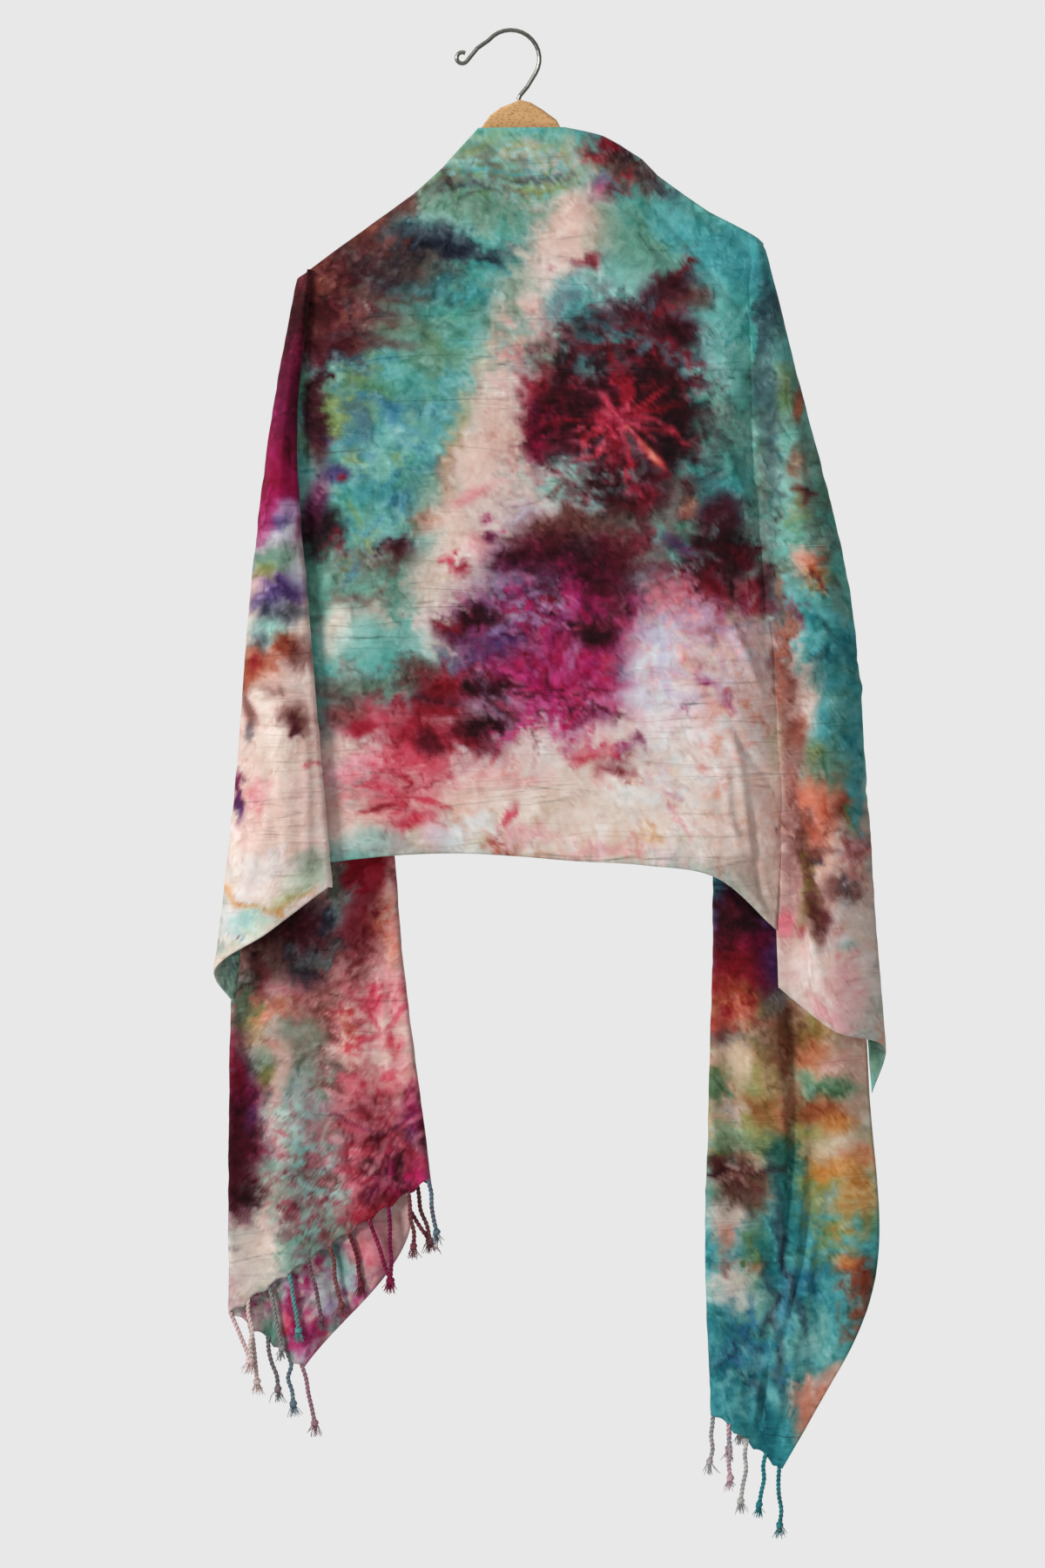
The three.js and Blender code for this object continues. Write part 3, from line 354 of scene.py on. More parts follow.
def curve_through(points, at):
    """Points on a smooth curve through points[..., k, :], at the given positions along k."""
    chord = np.maximum(np.linalg.norm(np.diff(points, axis=-2), axis=-1, keepdims=True), 1e-6)
    slope = np.empty_like(points)
    both = chord[..., 1:, :] + chord[..., :-1, :]
    slope[..., 1:-1, :] = (points[..., 2:, :] - points[..., :-2, :]) / both
    slope[..., 0, :] = (points[..., 1, :] - points[..., 0, :]) / chord[..., 0, :]
    slope[..., -1, :] = (points[..., -1, :] - points[..., -2, :]) / chord[..., -1, :]
    i = np.minimum(at.astype(int), points.shape[-2] - 2)
    f = (at - i)[:, None]
    g = eased(f)
    lead = slope[..., i, :] * chord[..., i, :] * f * (1 - f) ** 2
    trail = slope[..., i + 1, :] * chord[..., i, :] * f * f * (1 - f)
    return points[..., i, :] * (1 - g) + points[..., i + 1, :] * g + lead - trail


def even_steps(points, step):
    """Positions along rows of points, so that no step is longer than the given length."""
    reach = np.linalg.norm(np.diff(points, axis=-2), axis=-1)
    reach = reach.reshape(-1, reach.shape[-1]).max(axis=0)
    at = [np.linspace(i, i + 1, max(2, math.ceil(r / step)) + 1)[:-1] for i, r in enumerate(reach)]
    return np.append(np.concatenate(at), len(reach))


def walked_along(line):
    """How far each point of a line lies from its start, measured along it."""
    return np.append(0, np.cumsum(np.linalg.norm(np.diff(line, axis=0), axis=1)))


def drape(folds, step, facing=None):
    """The cloth's grid of points, and how far along the flat cloth each point is. Between the two
    folds named as facing, that is the point's x; beyond them it goes on by the cloth's length."""
    down = np.array([fold[2] for fold in folds], float)
    lines = curve_through(down, even_steps(down, step))
    knots, marks = [], {}
    for (name, turn, _), line in zip(folds, lines):
        marks[name] = len(knots) + (1 if turn else 0)
        if turn:
            depth, out = turn
            knots += [line + (-out * abs(depth), -depth, 0), line, line + (-out * abs(depth), depth, 0)]
        else:
            knots.append(line)
    knots = np.stack(knots, axis=1)
    at = even_steps(knots, step)
    grid = curve_through(knots, at)
    along = grid[:, :, 0].copy()
    if facing:
        walked = np.array([walked_along(row) for row in grid])
        first, last = (int(np.argmin(abs(at - marks[name]))) for name in facing)
        way = np.sign(grid[-1, last, 0] - grid[-1, first, 0])
        along[:, :first] = (along[:, first] + way * (walked[:, :first].T - walked[:, first])).T
        along[:, last:] = (along[:, last] + way * (walked[:, last:].T - walked[:, last])).T
    return grid, along


def on_ridge(grid, below):
    """Lays a grid's top edge on the ridge, and eases the difference out over the next 160 mm."""
    top = grid[0].copy()
    ease = np.clip(1 - (top[:, 2] - grid[:, :, 2]) / 160, 0, 1) ** 2
    grid[:, :, 2] += (ridge(top[:, 0]) - below - top[:, 2]) * ease
    return grid


def noise(u, v, seed):
    """Smooth value noise from -1 to 1, the same on every run."""
    iu, iv = np.floor(u), np.floor(v)
    fu, fv = eased(u - iu), eased(v - iv)

    def corner(a, b):
        s = np.sin(a * 127.1 + b * 311.7 + seed * 74.7) * 43758.5453
        return 2 * (s - np.floor(s)) - 1

    low = corner(iu, iv) * (1 - fu) + corner(iu + 1, iv) * fu
    high = corner(iu, iv + 1) * (1 - fu) + corner(iu + 1, iv + 1) * fu
    return low * (1 - fv) + high * fv


def normals_of(grid):
    normal = np.cross(np.gradient(grid, axis=1), np.gradient(grid, axis=0))
    return normal / np.maximum(np.linalg.norm(normal, axis=2, keepdims=True), 1e-9)


def crumpled(grid, along, creases, side, seed):
    """Small relief on the smooth form, towards the given side of the cloth: soft waviness, and
    creases from a table of x, z at one end, x, z at the other, half width and height."""
    down = grid[:, :, 2]
    height = (1.0 * noise(along / 40, down / 95, seed) + 0.45 * noise(along / 30, down / 12, seed + 1)
              + 0.16 * noise(along / 13, down / 6, seed + 2))
    for x0, z0, x1, z1, width, lift in creases:
        dx, dz = x1 - x0, z1 - z0
        length = math.hypot(dx, dz)
        share = ((along - x0) * dx + (down - z0) * dz) / length ** 2
        off = ((along - x0) * dz - (down - z0) * dx) / length + 2.5 * np.sin(share * 5 + x0)
        height += lift * np.clip(1 - abs(2 * share - 1) ** 3, 0, 1) * np.exp(-(off / width) ** 2)
    return grid + normals_of(grid) * side * height[:, :, None]


def cover_of(u, v, seed, x, z, wide, tall, strength, turn=0, patch=0):
    """How much of each place one soft-edged blot dyes. A patch size breaks it up."""
    c, s = math.cos(math.radians(turn)), math.sin(math.radians(turn))
    reach = np.hypot(((u - x) * c + (v - z) * s) / wide, ((v - z) * c - (u - x) * s) / tall)
    cover = strength * eased(np.clip((1.6 - reach) / 1.2, 0, 1))
    if patch:
        cover = cover * np.clip(0.35 + 1.9 * noise(u / patch, v / patch, x + z + 0.2 * seed), 0, 1)
    return cover


def painted(ground, blots, along, down, seed):
    """The colour at each place of the flat cloth: a dyed ground, and blots over each other, most of them dye
    and a few of them painted shade along folds.
    """
    # The blots' edges wander, in waves of the given sizes, and by how far.
    u, v = along, down
    for size, reach in ((60, 5), (24, 4), (9, 1.2)):
        u = u + reach * noise(along / size, down / size, size)
        v = v + reach * noise(along / size + 50, down / size, size)
    # Here and there they feather, each time along one of four directions of the crumples.
    for turn in (0, 50, 95, 140):
        c, s = math.cos(math.radians(turn)), math.sin(math.radians(turn))
        here = np.clip(0.2 + noise(along / 48, down / 48, turn), 0, 1)
        across, ahead = along * s - down * c, along * c + down * s
        feather = here * (11 * noise(across / 6, ahead / 40, seed + 1)
                          + 3 * noise(across / 3, ahead / 24, seed + 2))
        u, v = u + feather * c, v + feather * s
    shade = np.zeros(along.shape + (3,)) + srgb(DYES[ground])
    for dye_and_shade, *blot in blots:
        shade += (srgb(DYES[dye_and_shade]) - shade) * cover_of(u, v, seed, *blot)[..., None]
    # More dye settles in some folds than in others: the colour there is deeper and purer.
    depth = 0.28 * noise(u / 34, v / 34, 4) + 0.26 * noise(u / 12, v / 12, seed + 5)
    # The powder's edge leaves thin veins, darker on one side and washed out on the other.
    vein = noise(u / 16, v / 22, 31) + 0.5 * noise(u / 6, v / 8, 32)
    depth += 0.5 * np.exp(-(vein / 0.09) ** 2) - 0.3 * np.exp(-((vein - 0.22) / 0.1) ** 2)
    shade = shade ** (1.47 + depth)[..., None]
    return np.concatenate([linear(shade), np.ones(along.shape + (1,))], axis=-1)


def mesh_piece(name, points, faces, material, shades, flat, places):
    """A mesh object that rides on the body: points in millimetres, quads, and for each point its two
    colours, dye with here and there painted shade, and its flat coordinates; places are the quads' corners
    in the bake's square."""
    mesh = bpy.data.meshes.new(name)
    mesh.vertices.add(len(points))
    mesh.vertices.foreach_set("co", (points * MM).ravel())
    mesh.loops.add(faces.size)
    mesh.loops.foreach_set("vertex_index", faces.ravel())
    mesh.polygons.add(len(faces))
    mesh.polygons.foreach_set("loop_start", np.arange(0, faces.size, 4))
    mesh.polygons.foreach_set("use_smooth", np.ones(len(faces), bool))
    mesh.update(calc_edges=True)
    for layer, values in shades.items():
        mesh.attributes.new(layer, "FLOAT_COLOR", "POINT").data.foreach_set("color", values.ravel())
    spots = mesh.attributes.new("flat_cloth", "FLOAT_VECTOR", "POINT")
    spots.data.foreach_set("vector", (flat * MM).ravel())
    mesh.uv_layers.new(name="OFBake").data.foreach_set("uv", places.ravel())
    mesh.materials.append(material)
    piece = bpy.data.objects.new(name, mesh)
    bpy.context.scene.collection.objects.link(piece)
    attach(piece, "root")
    return piece


def bake_places(rows, columns, faces):
    """Each face's corners in the bake's square: the cloth's two sides next to each other, and the
    four rims as narrow strips above them."""
    u, v = np.meshgrid(np.linspace(0.01, 0.48, columns), np.linspace(0.01, 0.94, rows))
    spots = np.stack([u, v], axis=2).reshape(-1, 2)
    places = np.concatenate([spots, spots + (0.5, 0)])[faces]
    first = 2 * (rows - 1) * (columns - 1)
    for rim, count in enumerate((columns - 1, columns - 1, rows - 1, rows - 1)):
        step = np.linspace(0.01, 0.98, count + 1)
        low = 0.95 + 0.012 * rim
        high = low + 0.008
        box = [(step[1:], low), (step[:-1], low), (step[:-1], high), (step[1:], high)]
        for corner, (across, height) in enumerate(box):
            places[first:first + count, corner, 0] = across
            places[first:first + count, corner, 1] = height
        first += count
    return places


def cloth_piece(name, grid, along, ground, blots):
    """A closed, thin shell of dyed cloth round a grid of points."""
    rows, columns = grid.shape[:2]
    normal = normals_of(grid)
    points = np.concatenate([(grid + normal * s * CLOTH / 2).reshape(-1, 3) for s in (1, -1)])
    near = np.arange(rows * columns).reshape(rows, columns)
    far = near + rows * columns

    def quads(*corners):
        return np.stack(corners, axis=-1).reshape(-1, 4)

    faces = np.concatenate([
        quads(near[:-1, :-1], near[:-1, 1:], near[1:, 1:], near[1:, :-1]),
        quads(far[:-1, :-1], far[1:, :-1], far[1:, 1:], far[:-1, 1:]),
        quads(near[0, 1:], near[0, :-1], far[0, :-1], far[0, 1:]),
        quads(near[-1, :-1], near[-1, 1:], far[-1, 1:], far[-1, :-1]),
        quads(near[:-1, 0], near[1:, 0], far[1:, 0], far[:-1, 0]),
        quads(near[1:, -1], near[:-1, -1], far[:-1, -1], far[1:, -1])])
    down = grid[:, :, 2]
    shades = {}
    for layer, seed in (("dye_and_shade", 3.0), ("bleed_and_shade", 11.0)):
        shade = painted(ground, blots, along, down, seed).reshape(-1, 4)
        shades[layer] = np.concatenate([shade, shade])
    flat = np.stack([along, down, np.zeros_like(along)], axis=2).reshape(-1, 3)
    flat = np.concatenate([flat, flat])
    return mesh_piece(name, points, faces, rayon, shades, flat, bake_places(rows, columns, faces))


def blank_material(name):
    material = bpy.data.materials.new(name)
    material.use_nodes = True
    material.node_tree.nodes.clear()
    return material, material.node_tree


def add(tree, kind, settings=None, **links):
    """Adds one node with its settings. The other arguments are its inputs, by name or as i and a
    number; each is given a value or another node's output."""
    node = tree.nodes.new(kind)
    for key, value in (settings or {}).items():
        setattr(node, key, value)
    for key, value in links.items():
        spot = int(key[1:]) if key[1:].isdigit() else key.replace("_", " ")
        if isinstance(value, bpy.types.NodeSocket):
            tree.links.new(value, node.inputs[spot])
        else:
            node.inputs[spot].default_value = value
    return node


def clouds(tree, where, dimensions, **inputs):
    """Blender's own noise at a place, about 0.5."""
    node = add(tree, "ShaderNodeTexNoise", {"noise_dimensions": dimensions}, Vector=where, **inputs)
    return node.outputs["Fac"]


def ramp(tree, value, low, high, start=0.0, end=1.0, way="LINEAR"):
    """Turns a value between low and high into one between start and end."""
    return add(tree, "ShaderNodeMapRange", {"interpolation_type": way}, i0=value, i1=low, i2=high,
               i3=start, i4=end).outputs[0]


def mixed(tree, share, one, other):
    return add(tree, "ShaderNodeMix", {"data_type": "RGBA"}, i0=share, i6=one, i7=other).outputs[2]


def product(tree, one, other):
    return add(tree, "ShaderNodeMath", {"operation": "MULTIPLY"}, i0=one, i1=other).outputs[0]


DRAWN_CREASES = [      # turn in degrees, how fine across and along, height in metres
    (4, 11.0, 85.0, 0.0026), (-34, 13.0, 60.0, 0.003), (70, 11.0, 60.0, 0.0024)]
THREADS = 157          # waves to a metre of the weave at its full fineness


def dyed_rayon(name, weave_size):
    """Woven rayon, ice-dyed: the powder dye melts through scrunched cloth, so two versions of the
    blots meet in feathered, crackled edges. Soft and nearly matt, with a faint sheen."""
    material, tree = blank_material(name)
    flat, dye_and_shade, bleed_and_shade = (add(tree, "ShaderNodeAttribute", {"attribute_name": layer}).outputs[output] for
                        layer, output in (("flat_cloth", "Vector"), ("dye_and_shade", "Color"), ("bleed_and_shade", "Color")))
    # Feathering of 3 to 10 mm where two dyes meet.
    grain = clouds(tree, flat, "2D", Scale=85.0, Detail=5.0, Roughness=0.55, Distortion=0.2)
    shade = mixed(tree, ramp(tree, grain, 0.36, 0.64), dye_and_shade, bleed_and_shade)
    # More dye settles in the finest crumples, so the colour there is deeper.
    pool = clouds(tree, flat, "2D", Scale=120.0, Detail=5.0, Roughness=0.6, Distortion=0.3)
    depth = ramp(tree, pool, 0.3, 0.7, 0.88, 1.14)
    shade = add(tree, "ShaderNodeGamma", {}, Color=shade, Gamma=depth).outputs[0]
    # Wrinkles: soft crumples 20 mm wide, and here and there thin creases drawn out to either side.
    crumple = clouds(tree, flat, "2D", Scale=50.0, Detail=4.0, Roughness=0.5, Distortion=0.5)
    rough = add(tree, "ShaderNodeBump", {}, Strength=0.2, Distance=0.0025, Height=crumple).outputs[0]
    for turn, wide, tall, height in DRAWN_CREASES:
        drawn = add(tree, "ShaderNodeMapping", {}, Vector=flat, Rotation=(0, 0, math.radians(turn)),
                    Location=(turn, 0, 0), Scale=(wide, tall, 1)).outputs[0]
        ripple = clouds(tree, drawn, "2D", Scale=1.0, Detail=2.0, Roughness=0.5, Distortion=0.5)
        crest = ramp(tree, ripple, 0.46, 0.74, way="SMOOTHSTEP")
        spread = add(tree, "ShaderNodeMapping", {}, Vector=flat, Location=(0, turn, 0)).outputs[0]
        where = ramp(tree, clouds(tree, spread, "2D", Scale=9.0, Detail=1.0), 0.46, 0.62)
        rough = add(tree, "ShaderNodeBump", {}, Strength=0.5, Distance=height,
                    Height=product(tree, crest, where), Normal=rough).outputs[0]
    # The weave: threads about 0.35 mm apart, drawn coarser so that they still show.
    warp, weft = (add(tree, "ShaderNodeTexWave", {"bands_direction": way}, Vector=flat,
                      Scale=THREADS / weave_size, Distortion=1.2, Detail=1.0).outputs["Fac"] for way in "XY")
    thread = add(tree, "ShaderNodeBump", {}, Strength=0.2, Distance=0.0002,
                 Height=product(tree, warp, weft), Normal=rough)
    surface = add(tree, "ShaderNodeBsdfPrincipled", {}, Base_Color=shade, Roughness=0.85,
                  Normal=thread.outputs[0], Sheen_Weight=0.04, Sheen_Roughness=0.5, Specular_IOR_Level=0.12)
    add(tree, "ShaderNodeOutputMaterial", {}, Surface=surface.outputs[0])
    return material


rayon = dyed_rayon("ice-dyed rayon plain weave", 1.2)
# x, z, x, z, half width, height of the creases that show on the back.
BACK_CREASES = [
    (-150, -676, 170, -688, 2.5, -1.4), (-160, -655, 30, -664, 3, 1.3), (-120, -640, 60, -648, 2.5, -1.1),
    (-140, -600, -20, -612, 3, 1), (60, -610, 190, -640, 3, 1.3), (40, -560, 170, -600, 2.5, -1),
    (66, -92, 206, -200, 5, 3.8), (88, -118, 214, -250, 4, -3.5), (70, -130, 200, -300, 6, 3.2),
    (110, -200, 205, -340, 4, -2.9), (150, -300, 208, -420, 4, 2.9), (140, -380, 206, -500, 5, -2.9),
    (30, -100, 90, -230, 7, 2.2), (-30, -96, 60, -92, 3, -1.3), (-40, -108, 66, -104, 3, 1.3),
    (-60, -128, 40, -134, 4, -1.4), (-150, -210, -50, -150, 4, 2.1), (-130, -230, 10, -190, 5, -1.9),
    (-170, -262, -60, -214, 4, 1.4), (150, -440, 214, -560, 4, 3.2), (172, -560, 224, -640, 4, -2.6),
    (150, -640, 216, -700, 4, 2.2), (-20, -386, 130, -398, 2.5, 1), (-90, -380, 60, -402, 3, -1),
    (-180, -452, -60, -470, 3, 1), (178, -610, 190, -690, 3, 1.9), (206, -330, 214, -520, 3, -2.2),
    (186, -700, 214, -744, 3, 2.4), (196, -640, 216, -740, 3, -2.6), (120, -690, 190, -706, 3, 1.6),
    (176, -560, 206, -700, 4, 2.2), (60, -470, 150, -520, 3, -1.6), (-100, -520, -60, -640, 4, 1.4),
    (-60, -330, -20, -470, 6, 1.6), (90, -160, 190, -230, 3, -2.8),
    (-174, -520, -160, -680, 5, -2.4), (-150, -300, -120, -420, 5, 1.6),
]
grid, along = drape(BACK_PANEL, FINE)
grid = crumpled(on_ridge(grid, 0), along, BACK_CREASES, -1, 1)
back = cloth_piece("back_cloth", grid, along, "turquoise", BACK_BLOTS)
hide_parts("back_panel")

# ---------------------------------------------------------------------------------------------
# The two sides, where the same panel turns round to the front: on the left it is folded back on
# itself in a pleat before it goes round, on the right it goes round in one wide curve. Both end
# below in the scarf's lower selvage, a woven edge without a hem.
# ---------------------------------------------------------------------------------------------

WING_STEP = 3.0        # longest step between two points of a side
LEFT_WING = [
    ("pleat", None, [(-168, -8.6, -201), (-188.5, -15.6, -330), (-186.5, -16.6, -480),
                     (-174.5, -17.6, -620), (-164, -18, -713)]),
    ("edge", (-3.5, 1), [(-166, -11, -200), (-178.5, -24, -330), (-169.5, -27, -480),
                         (-157, -28, -622), (-148, -28, -716)]),
    ("face", None, [(-171, -10, -202), (-189, -31, -330), (-196, -36, -482), (-196, -38, -632),
                    (-201, -38, -753)]),
    ("side", None, [(-179, -1, -207), (-200.5, -10, -331), (-219, -10, -484), (-231, -10, -637),
                    (-248, -12, -786)]),
    ("rear", None, [(-176, 8, -210), (-190, 7, -332), (-205, 7, -484), (-215, 6, -640),
                    (-231, 3, -815)]),
]
LEFT_WING_CREASES = [
    (-190, -330, -215, -480, 5, 2.2), (-205, -560, -190, -720, 6, -2.4), (-200, -640, -236, -780, 5, 2.0),
    (-176, -560, -166, -720, 4, 1.6),
]
RIGHT_WING = [
    ("valley", None, [(198, -7.2, -172), (197, -12, -302), (208, -11, -472), (218, -12, -624),
                      (224, -13, -800)]),
    ("face", None, [(206, -9.2, -176), (226, -26, -302), (253, -31, -470), (266, -32, -640),
                    (270, -31, -836)]),
    ("side", None, [(213, -1, -183), (244, -9, -306), (284, -9, -471), (299, -9, -655),
                    (312, -10, -850)]),
    ("rear", None, [(209, 8, -186), (235, 8, -308), (266, 8, -471), (284, 7, -656), (303, 4, -889)]),
]
RIGHT_WING_CREASES = [
    (240, -470, 296, -530, 3, -2.9), (236, -500, 300, -560, 4, 2.9), (244, -590, 305, -640, 3, -2.2),
    (232, -300, 246, -420, 4, 1.9), (228, -660, 300, -690, 5, 2.2), (226, -620, 240, -760, 4, -3.2),
    (240, -690, 262, -800, 4, 2.6), (214, -280, 222, -600, 3, -2.6),
]
LEFT_WING_BLOTS = [
    ("sage", -278, -747, 26, 88, 1), ("slate", -278, -784, 22, 44, 0.5, 0, 8),
    ("mist", -278, -689, 22, 44, 0.5), ("ice", -194, -667, 58, 110, 0.5, 0, 12),
    ("pink", -194, -630, 58, 102, 0.4, 0, 9), ("blush", -194, -594, 58, 146, 0.5, 0, 22),
    ("blush", -194, -645, 51, 88, 0.5), ("plum", -194, -316, 51, 117, 1), ("ice", -191, -426, 44, 19, 0.7),
    ("brown", -173, -240, 32, 28, 0.9), ("wine", -173, -262, 26, 36, 0.95),
    ("brown", -180, -208, 26, 29, 0.95), ("wine", -176, -225, 22, 25, 0.6),
    ("crimson", -176, -280, 10, 15, 0.5), ("magenta", -196, -338, 32, 66, 0.9, -8),
    ("plum", -184, -302, 22, 44, 0.8), ("wine", -176, -353, 7, 66, 0.6), ("plum", -176, -397, 7, 29, 0.5),
    ("magenta", -197, -382, 15, 19, 0.8), ("lavender", -187, -404, 15, 10, 0.8, 20),
    ("ice", -193, -420, 13, 10, 0.7), ("violet", -193, -414, 9, 7, 0.6, 30),
    ("magenta", -205, -411, 7, 18, 0.7), ("sage", -196, -446, 20, 12, 0.9),
    ("olive", -200, -455, 9, 6, 0.6), ("violet", -187, -467, 18, 10, 0.85, 20),
    ("violet", -202, -477, 12, 7, 0.7), ("slate", -191, -484, 19, 9, 0.7), ("ice", -176, -455, 7, 10, 0.6),
    ("mist", -200, -500, 16, 12, 0.7), ("slate", -209, -510, 7, 12, 0.5),
    ("rust", -187, -510, 10, 10, 0.85), ("brown", -176, -521, 10, 15, 0.6),
    ("rust", -216, -534, 12, 18, 0.85), ("crimson", -216, -528, 4, 7, 0.6),
    ("blush", -187, -543, 19, 13, 0.9), ("brown", -202, -550, 12, 7, 0.6), ("rust", -198, -528, 7, 9, 0.5),
    ("brown", -182, -573, 11, 12, 0.85), ("wine", -182, -578, 5, 6, 0.6), ("brown", -219, -568, 5, 18, 0.7),
    ("slate", -221, -586, 4, 7, 0.5), ("cream", -207, -557, 9, 16, 0.85),
    ("cream", -202, -608, 18, 36, 0.8), ("blush", -173, -608, 16, 12, 0.6), ("rose", -165, -610, 4, 3, 0.7),
    ("blush", -187, -674, 32, 36, 0.6), ("pink", -209, -641, 9, 15, 0.45),
    ("plum", -229, -641, 6, 15, 0.8, 15), ("violet", -227, -648, 4, 12, 0.6),
    ("ice", -209, -703, 22, 15, 0.4), ("sage", -167, -703, 19, 15, 0.5, 30),
    ("celadon", -180, -718, 22, 10, 0.6, 20), ("olive", -194, -729, 19, 4, 0.4, 20),
    ("ice", -232, -747, 19, 19, 0.6), ("mist", -220, -747, 18, 10, 0.5, 20),
    ("orange", -237, -724, 4, 10, 0.5, 30), ("orange", -220, -736, 12, 2, 0.5, -20),
    ("orange", -194, -732, 22, 2, 0.45, 15), ("magenta", -230, -759, 3, 1, 0.8, 30),
    ("magenta", -246, -765, 2, 1, 0.8), ("blue", -227, -762, 3, 1, 0.8), ("blue", -240, -769, 2, 1, 0.7),
    ("celadon", -216, -758, 22, 7, 0.4, 30),
]
grid, along = drape(LEFT_WING, WING_STEP, ("edge", "side"))
grid = crumpled(grid, along, LEFT_WING_CREASES, 1, 5)
left_wing = cloth_piece("left_side_cloth", grid, along, "cream", LEFT_WING_BLOTS)
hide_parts("left_wing")

grid, along = drape(RIGHT_WING, WING_STEP, ("valley", "side"))
grid = crumpled(grid, along, RIGHT_WING_CREASES, -1, 8)
right_wing = cloth_piece("right_side_cloth", grid, along, "turquoise", BACK_BLOTS)
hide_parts("right_wing")

# ---------------------------------------------------------------------------------------------
# The two ends of the scarf hang down in front, gathered in soft upright folds. Of each, one
# stretch goes over the shoulder and down, and one lies behind the wing and shows below it. Their
# lower edges are the short, fringed ends: between the cords the edge bows up a little.
# ---------------------------------------------------------------------------------------------

WAVE_LENGTH = 58       # of the upright folds
WAVE_DEPTH = 3.6
CORD_SPACING = 22      # along the lower edge
FIRST_CORD = 6.6       # from the edge's corner
LEFT_FRONT = [
    ("neck edge", None, [(-28, 24, -122), (-72, 26, -330), (-98, 27, -480), (-126, 27, -640),
                         (-142, 27, -820), (-150, 27, -985)]),
    ("neck side", None, [(-64, 24, -160), (-104, 32, -330), (-128, 34, -480), (-150, 35, -640),
                         (-166, 36, -820), (-175, 36, -989)]),
    ("shoulder side", None, [(-120, 24, -205), (-150, 27, -330), (-166, 28, -480), (-180, 28, -640),
                             (-190, 28, -820), (-198, 28, -992)]),
    ("hidden fold", None, [(-176, 24, -246), (-187, 27, -330), (-200, 27, -480), (-210, 27, -640),
                           (-216, 27, -820), (-220, 26.6, -994)]),
]
LEFT_FALL = [
    ("hidden fold", None, [(-178, 21.5, -262), (-187, 21.5, -335), (-200, 21.5, -480),
                           (-210, 21.5, -640), (-216, 21.5, -800), (-218, 21.5, -900),
                           (-220, 21.5, -994)]),
    ("near edge", (-5.3, 1), [(-164, 16, -262), (-153, 16, -330), (-127, 16, -480), (-102, 16, -640),
                              (-91.5, 16, -772), (-77, 16, -882), (-67.6, 16, -965)]),
    ("outer fold", (2.5, -1), [(-186, 13.5, -262), (-193, 13.5, -335), (-208, 13.5, -485),
                               (-222, 13.5, -645), (-233.5, 13.5, -800), (-236.5, 13.5, -940),
                               (-237.3, 13.5, -1073)]),
    ("hem edge", None, [(-172, 16, -262), (-178, 16, -335), (-190, 16, -485), (-200, 16, -645),
                        (-190, 16, -840), (-84, 16, -992), (-174, 16, -1122)]),
]
RIGHT_FRONT = [
    ("neck edge", None, [(56, 24, -123), (128, 27, -300), (164, 28, -450), (180, 28, -640),
                         (182, 28, -830), (180, 28, -985)]),
    ("neck side", None, [(98, 24, -140), (156, 38, -300), (190, 40, -450), (206, 41, -640),
                         (210, 41, -830), (208, 40, -1004)]),
    ("middle", None, [(144, 24, -176), (184, 30, -300), (212, 29, -450), (230, 29, -640),
                      (236, 29, -830), (232, 29, -1022)]),
    ("shoulder side", None, [(184, 24, -200), (208, 38, -300), (238, 40, -450), (256, 40, -640),
                             (264, 40, -830), (258, 39, -1042)]),
    ("hidden fold", None, [(214, 24, -220), (230, 28, -302), (260, 27, -452), (277, 27, -645),
                           (288, 27, -840), (282, 26.6, -1062)]),
]
RIGHT_FALL = [
    ("hidden fold", None, [(214, 21, -242), (228, 21, -302), (259, 21, -452), (276, 21, -642),
                           (287, 21, -840), (289, 21, -980), (282, 21, -1062)]),
    ("near edge", (-3.5, -1), [(203, 17.5, -242), (190, 17.5, -300), (176, 17.5, -450),
                               (171, 17.5, -640), (168.5, 17.5, -850), (163, 17.5, -1010),
                               (168, 17.5, -1160)]),
    ("hem edge", None, [(222, 14, -242), (236, 14, -305), (268, 14, -455), (287, 14, -645),
                        (301.5, 14, -885), (305, 14, -1052), (228.5, 14, -1207)]),
]
# x at which each fold of a front passes over the ridge, on the left and on the right.
CROSSES = {"neck edge": (-28, 46), "neck side": (-60, 92), "middle": (0, 140), "shoulder side": (-116, 180),
           "hidden fold": (-172, 211)}


def over_shoulder(folds):
    """Puts four points at the top of each fold: tucked under the back, the crest, and two in front."""
    whole = []
    for name, turn, down in folds:
        start = down[0][0]
        x = CROSSES[name][start > 0]
        z = float(ridge(x))
        whole.append((name, turn, [(x, -7.4, z - 4), (x, 0, z + 0.8), (x, 8.6, z - 4.5),
                                   (start, 24, float(ridge(start)) - 40)] + down[1:]))
    return whole


def gathered(grid):
    """The upright folds that all layers of one end share, so that they never meet. They begin
    420 mm below the hook and are full 480 mm further down."""
    x, z = grid[:, :, 0], grid[:, :, 2]
    full = eased(np.clip((-z - 420) / 480, 0, 1))
    grid[:, :, 1] += WAVE_DEPTH * full * np.sin(2 * math.pi * (x + (z + 900) * 0.09) / WAVE_LENGTH)
    return grid


def scalloped(grid):
    """Bows the lower edge up 4.5 mm between the cords, which eases out over 60 mm, and lays it
    3 mm down on the fringe."""
    bow = abs(np.sin(math.pi * (walked_along(grid[-1]) - FIRST_CORD) / CORD_SPACING)) * 4.5
    ease = np.clip(1 - (grid[:, :, 2] - grid[-1, :, 2]) / 60, 0, 1) ** 2
    grid[:, :, 2] += ease * (bow - 3)
    return grid


def end_cloth(name, node, grid, along, ground, blots, creases, side, seed):
    """One stretch of an end, with its lower edge and dye, which the fringe goes on from."""
    grid = crumpled(scalloped(gathered(grid)), along, creases, side, seed)
    piece = cloth_piece(name, grid, along, ground, blots)
    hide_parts(node)
    return piece, grid[-1], along[-1], ground, blots


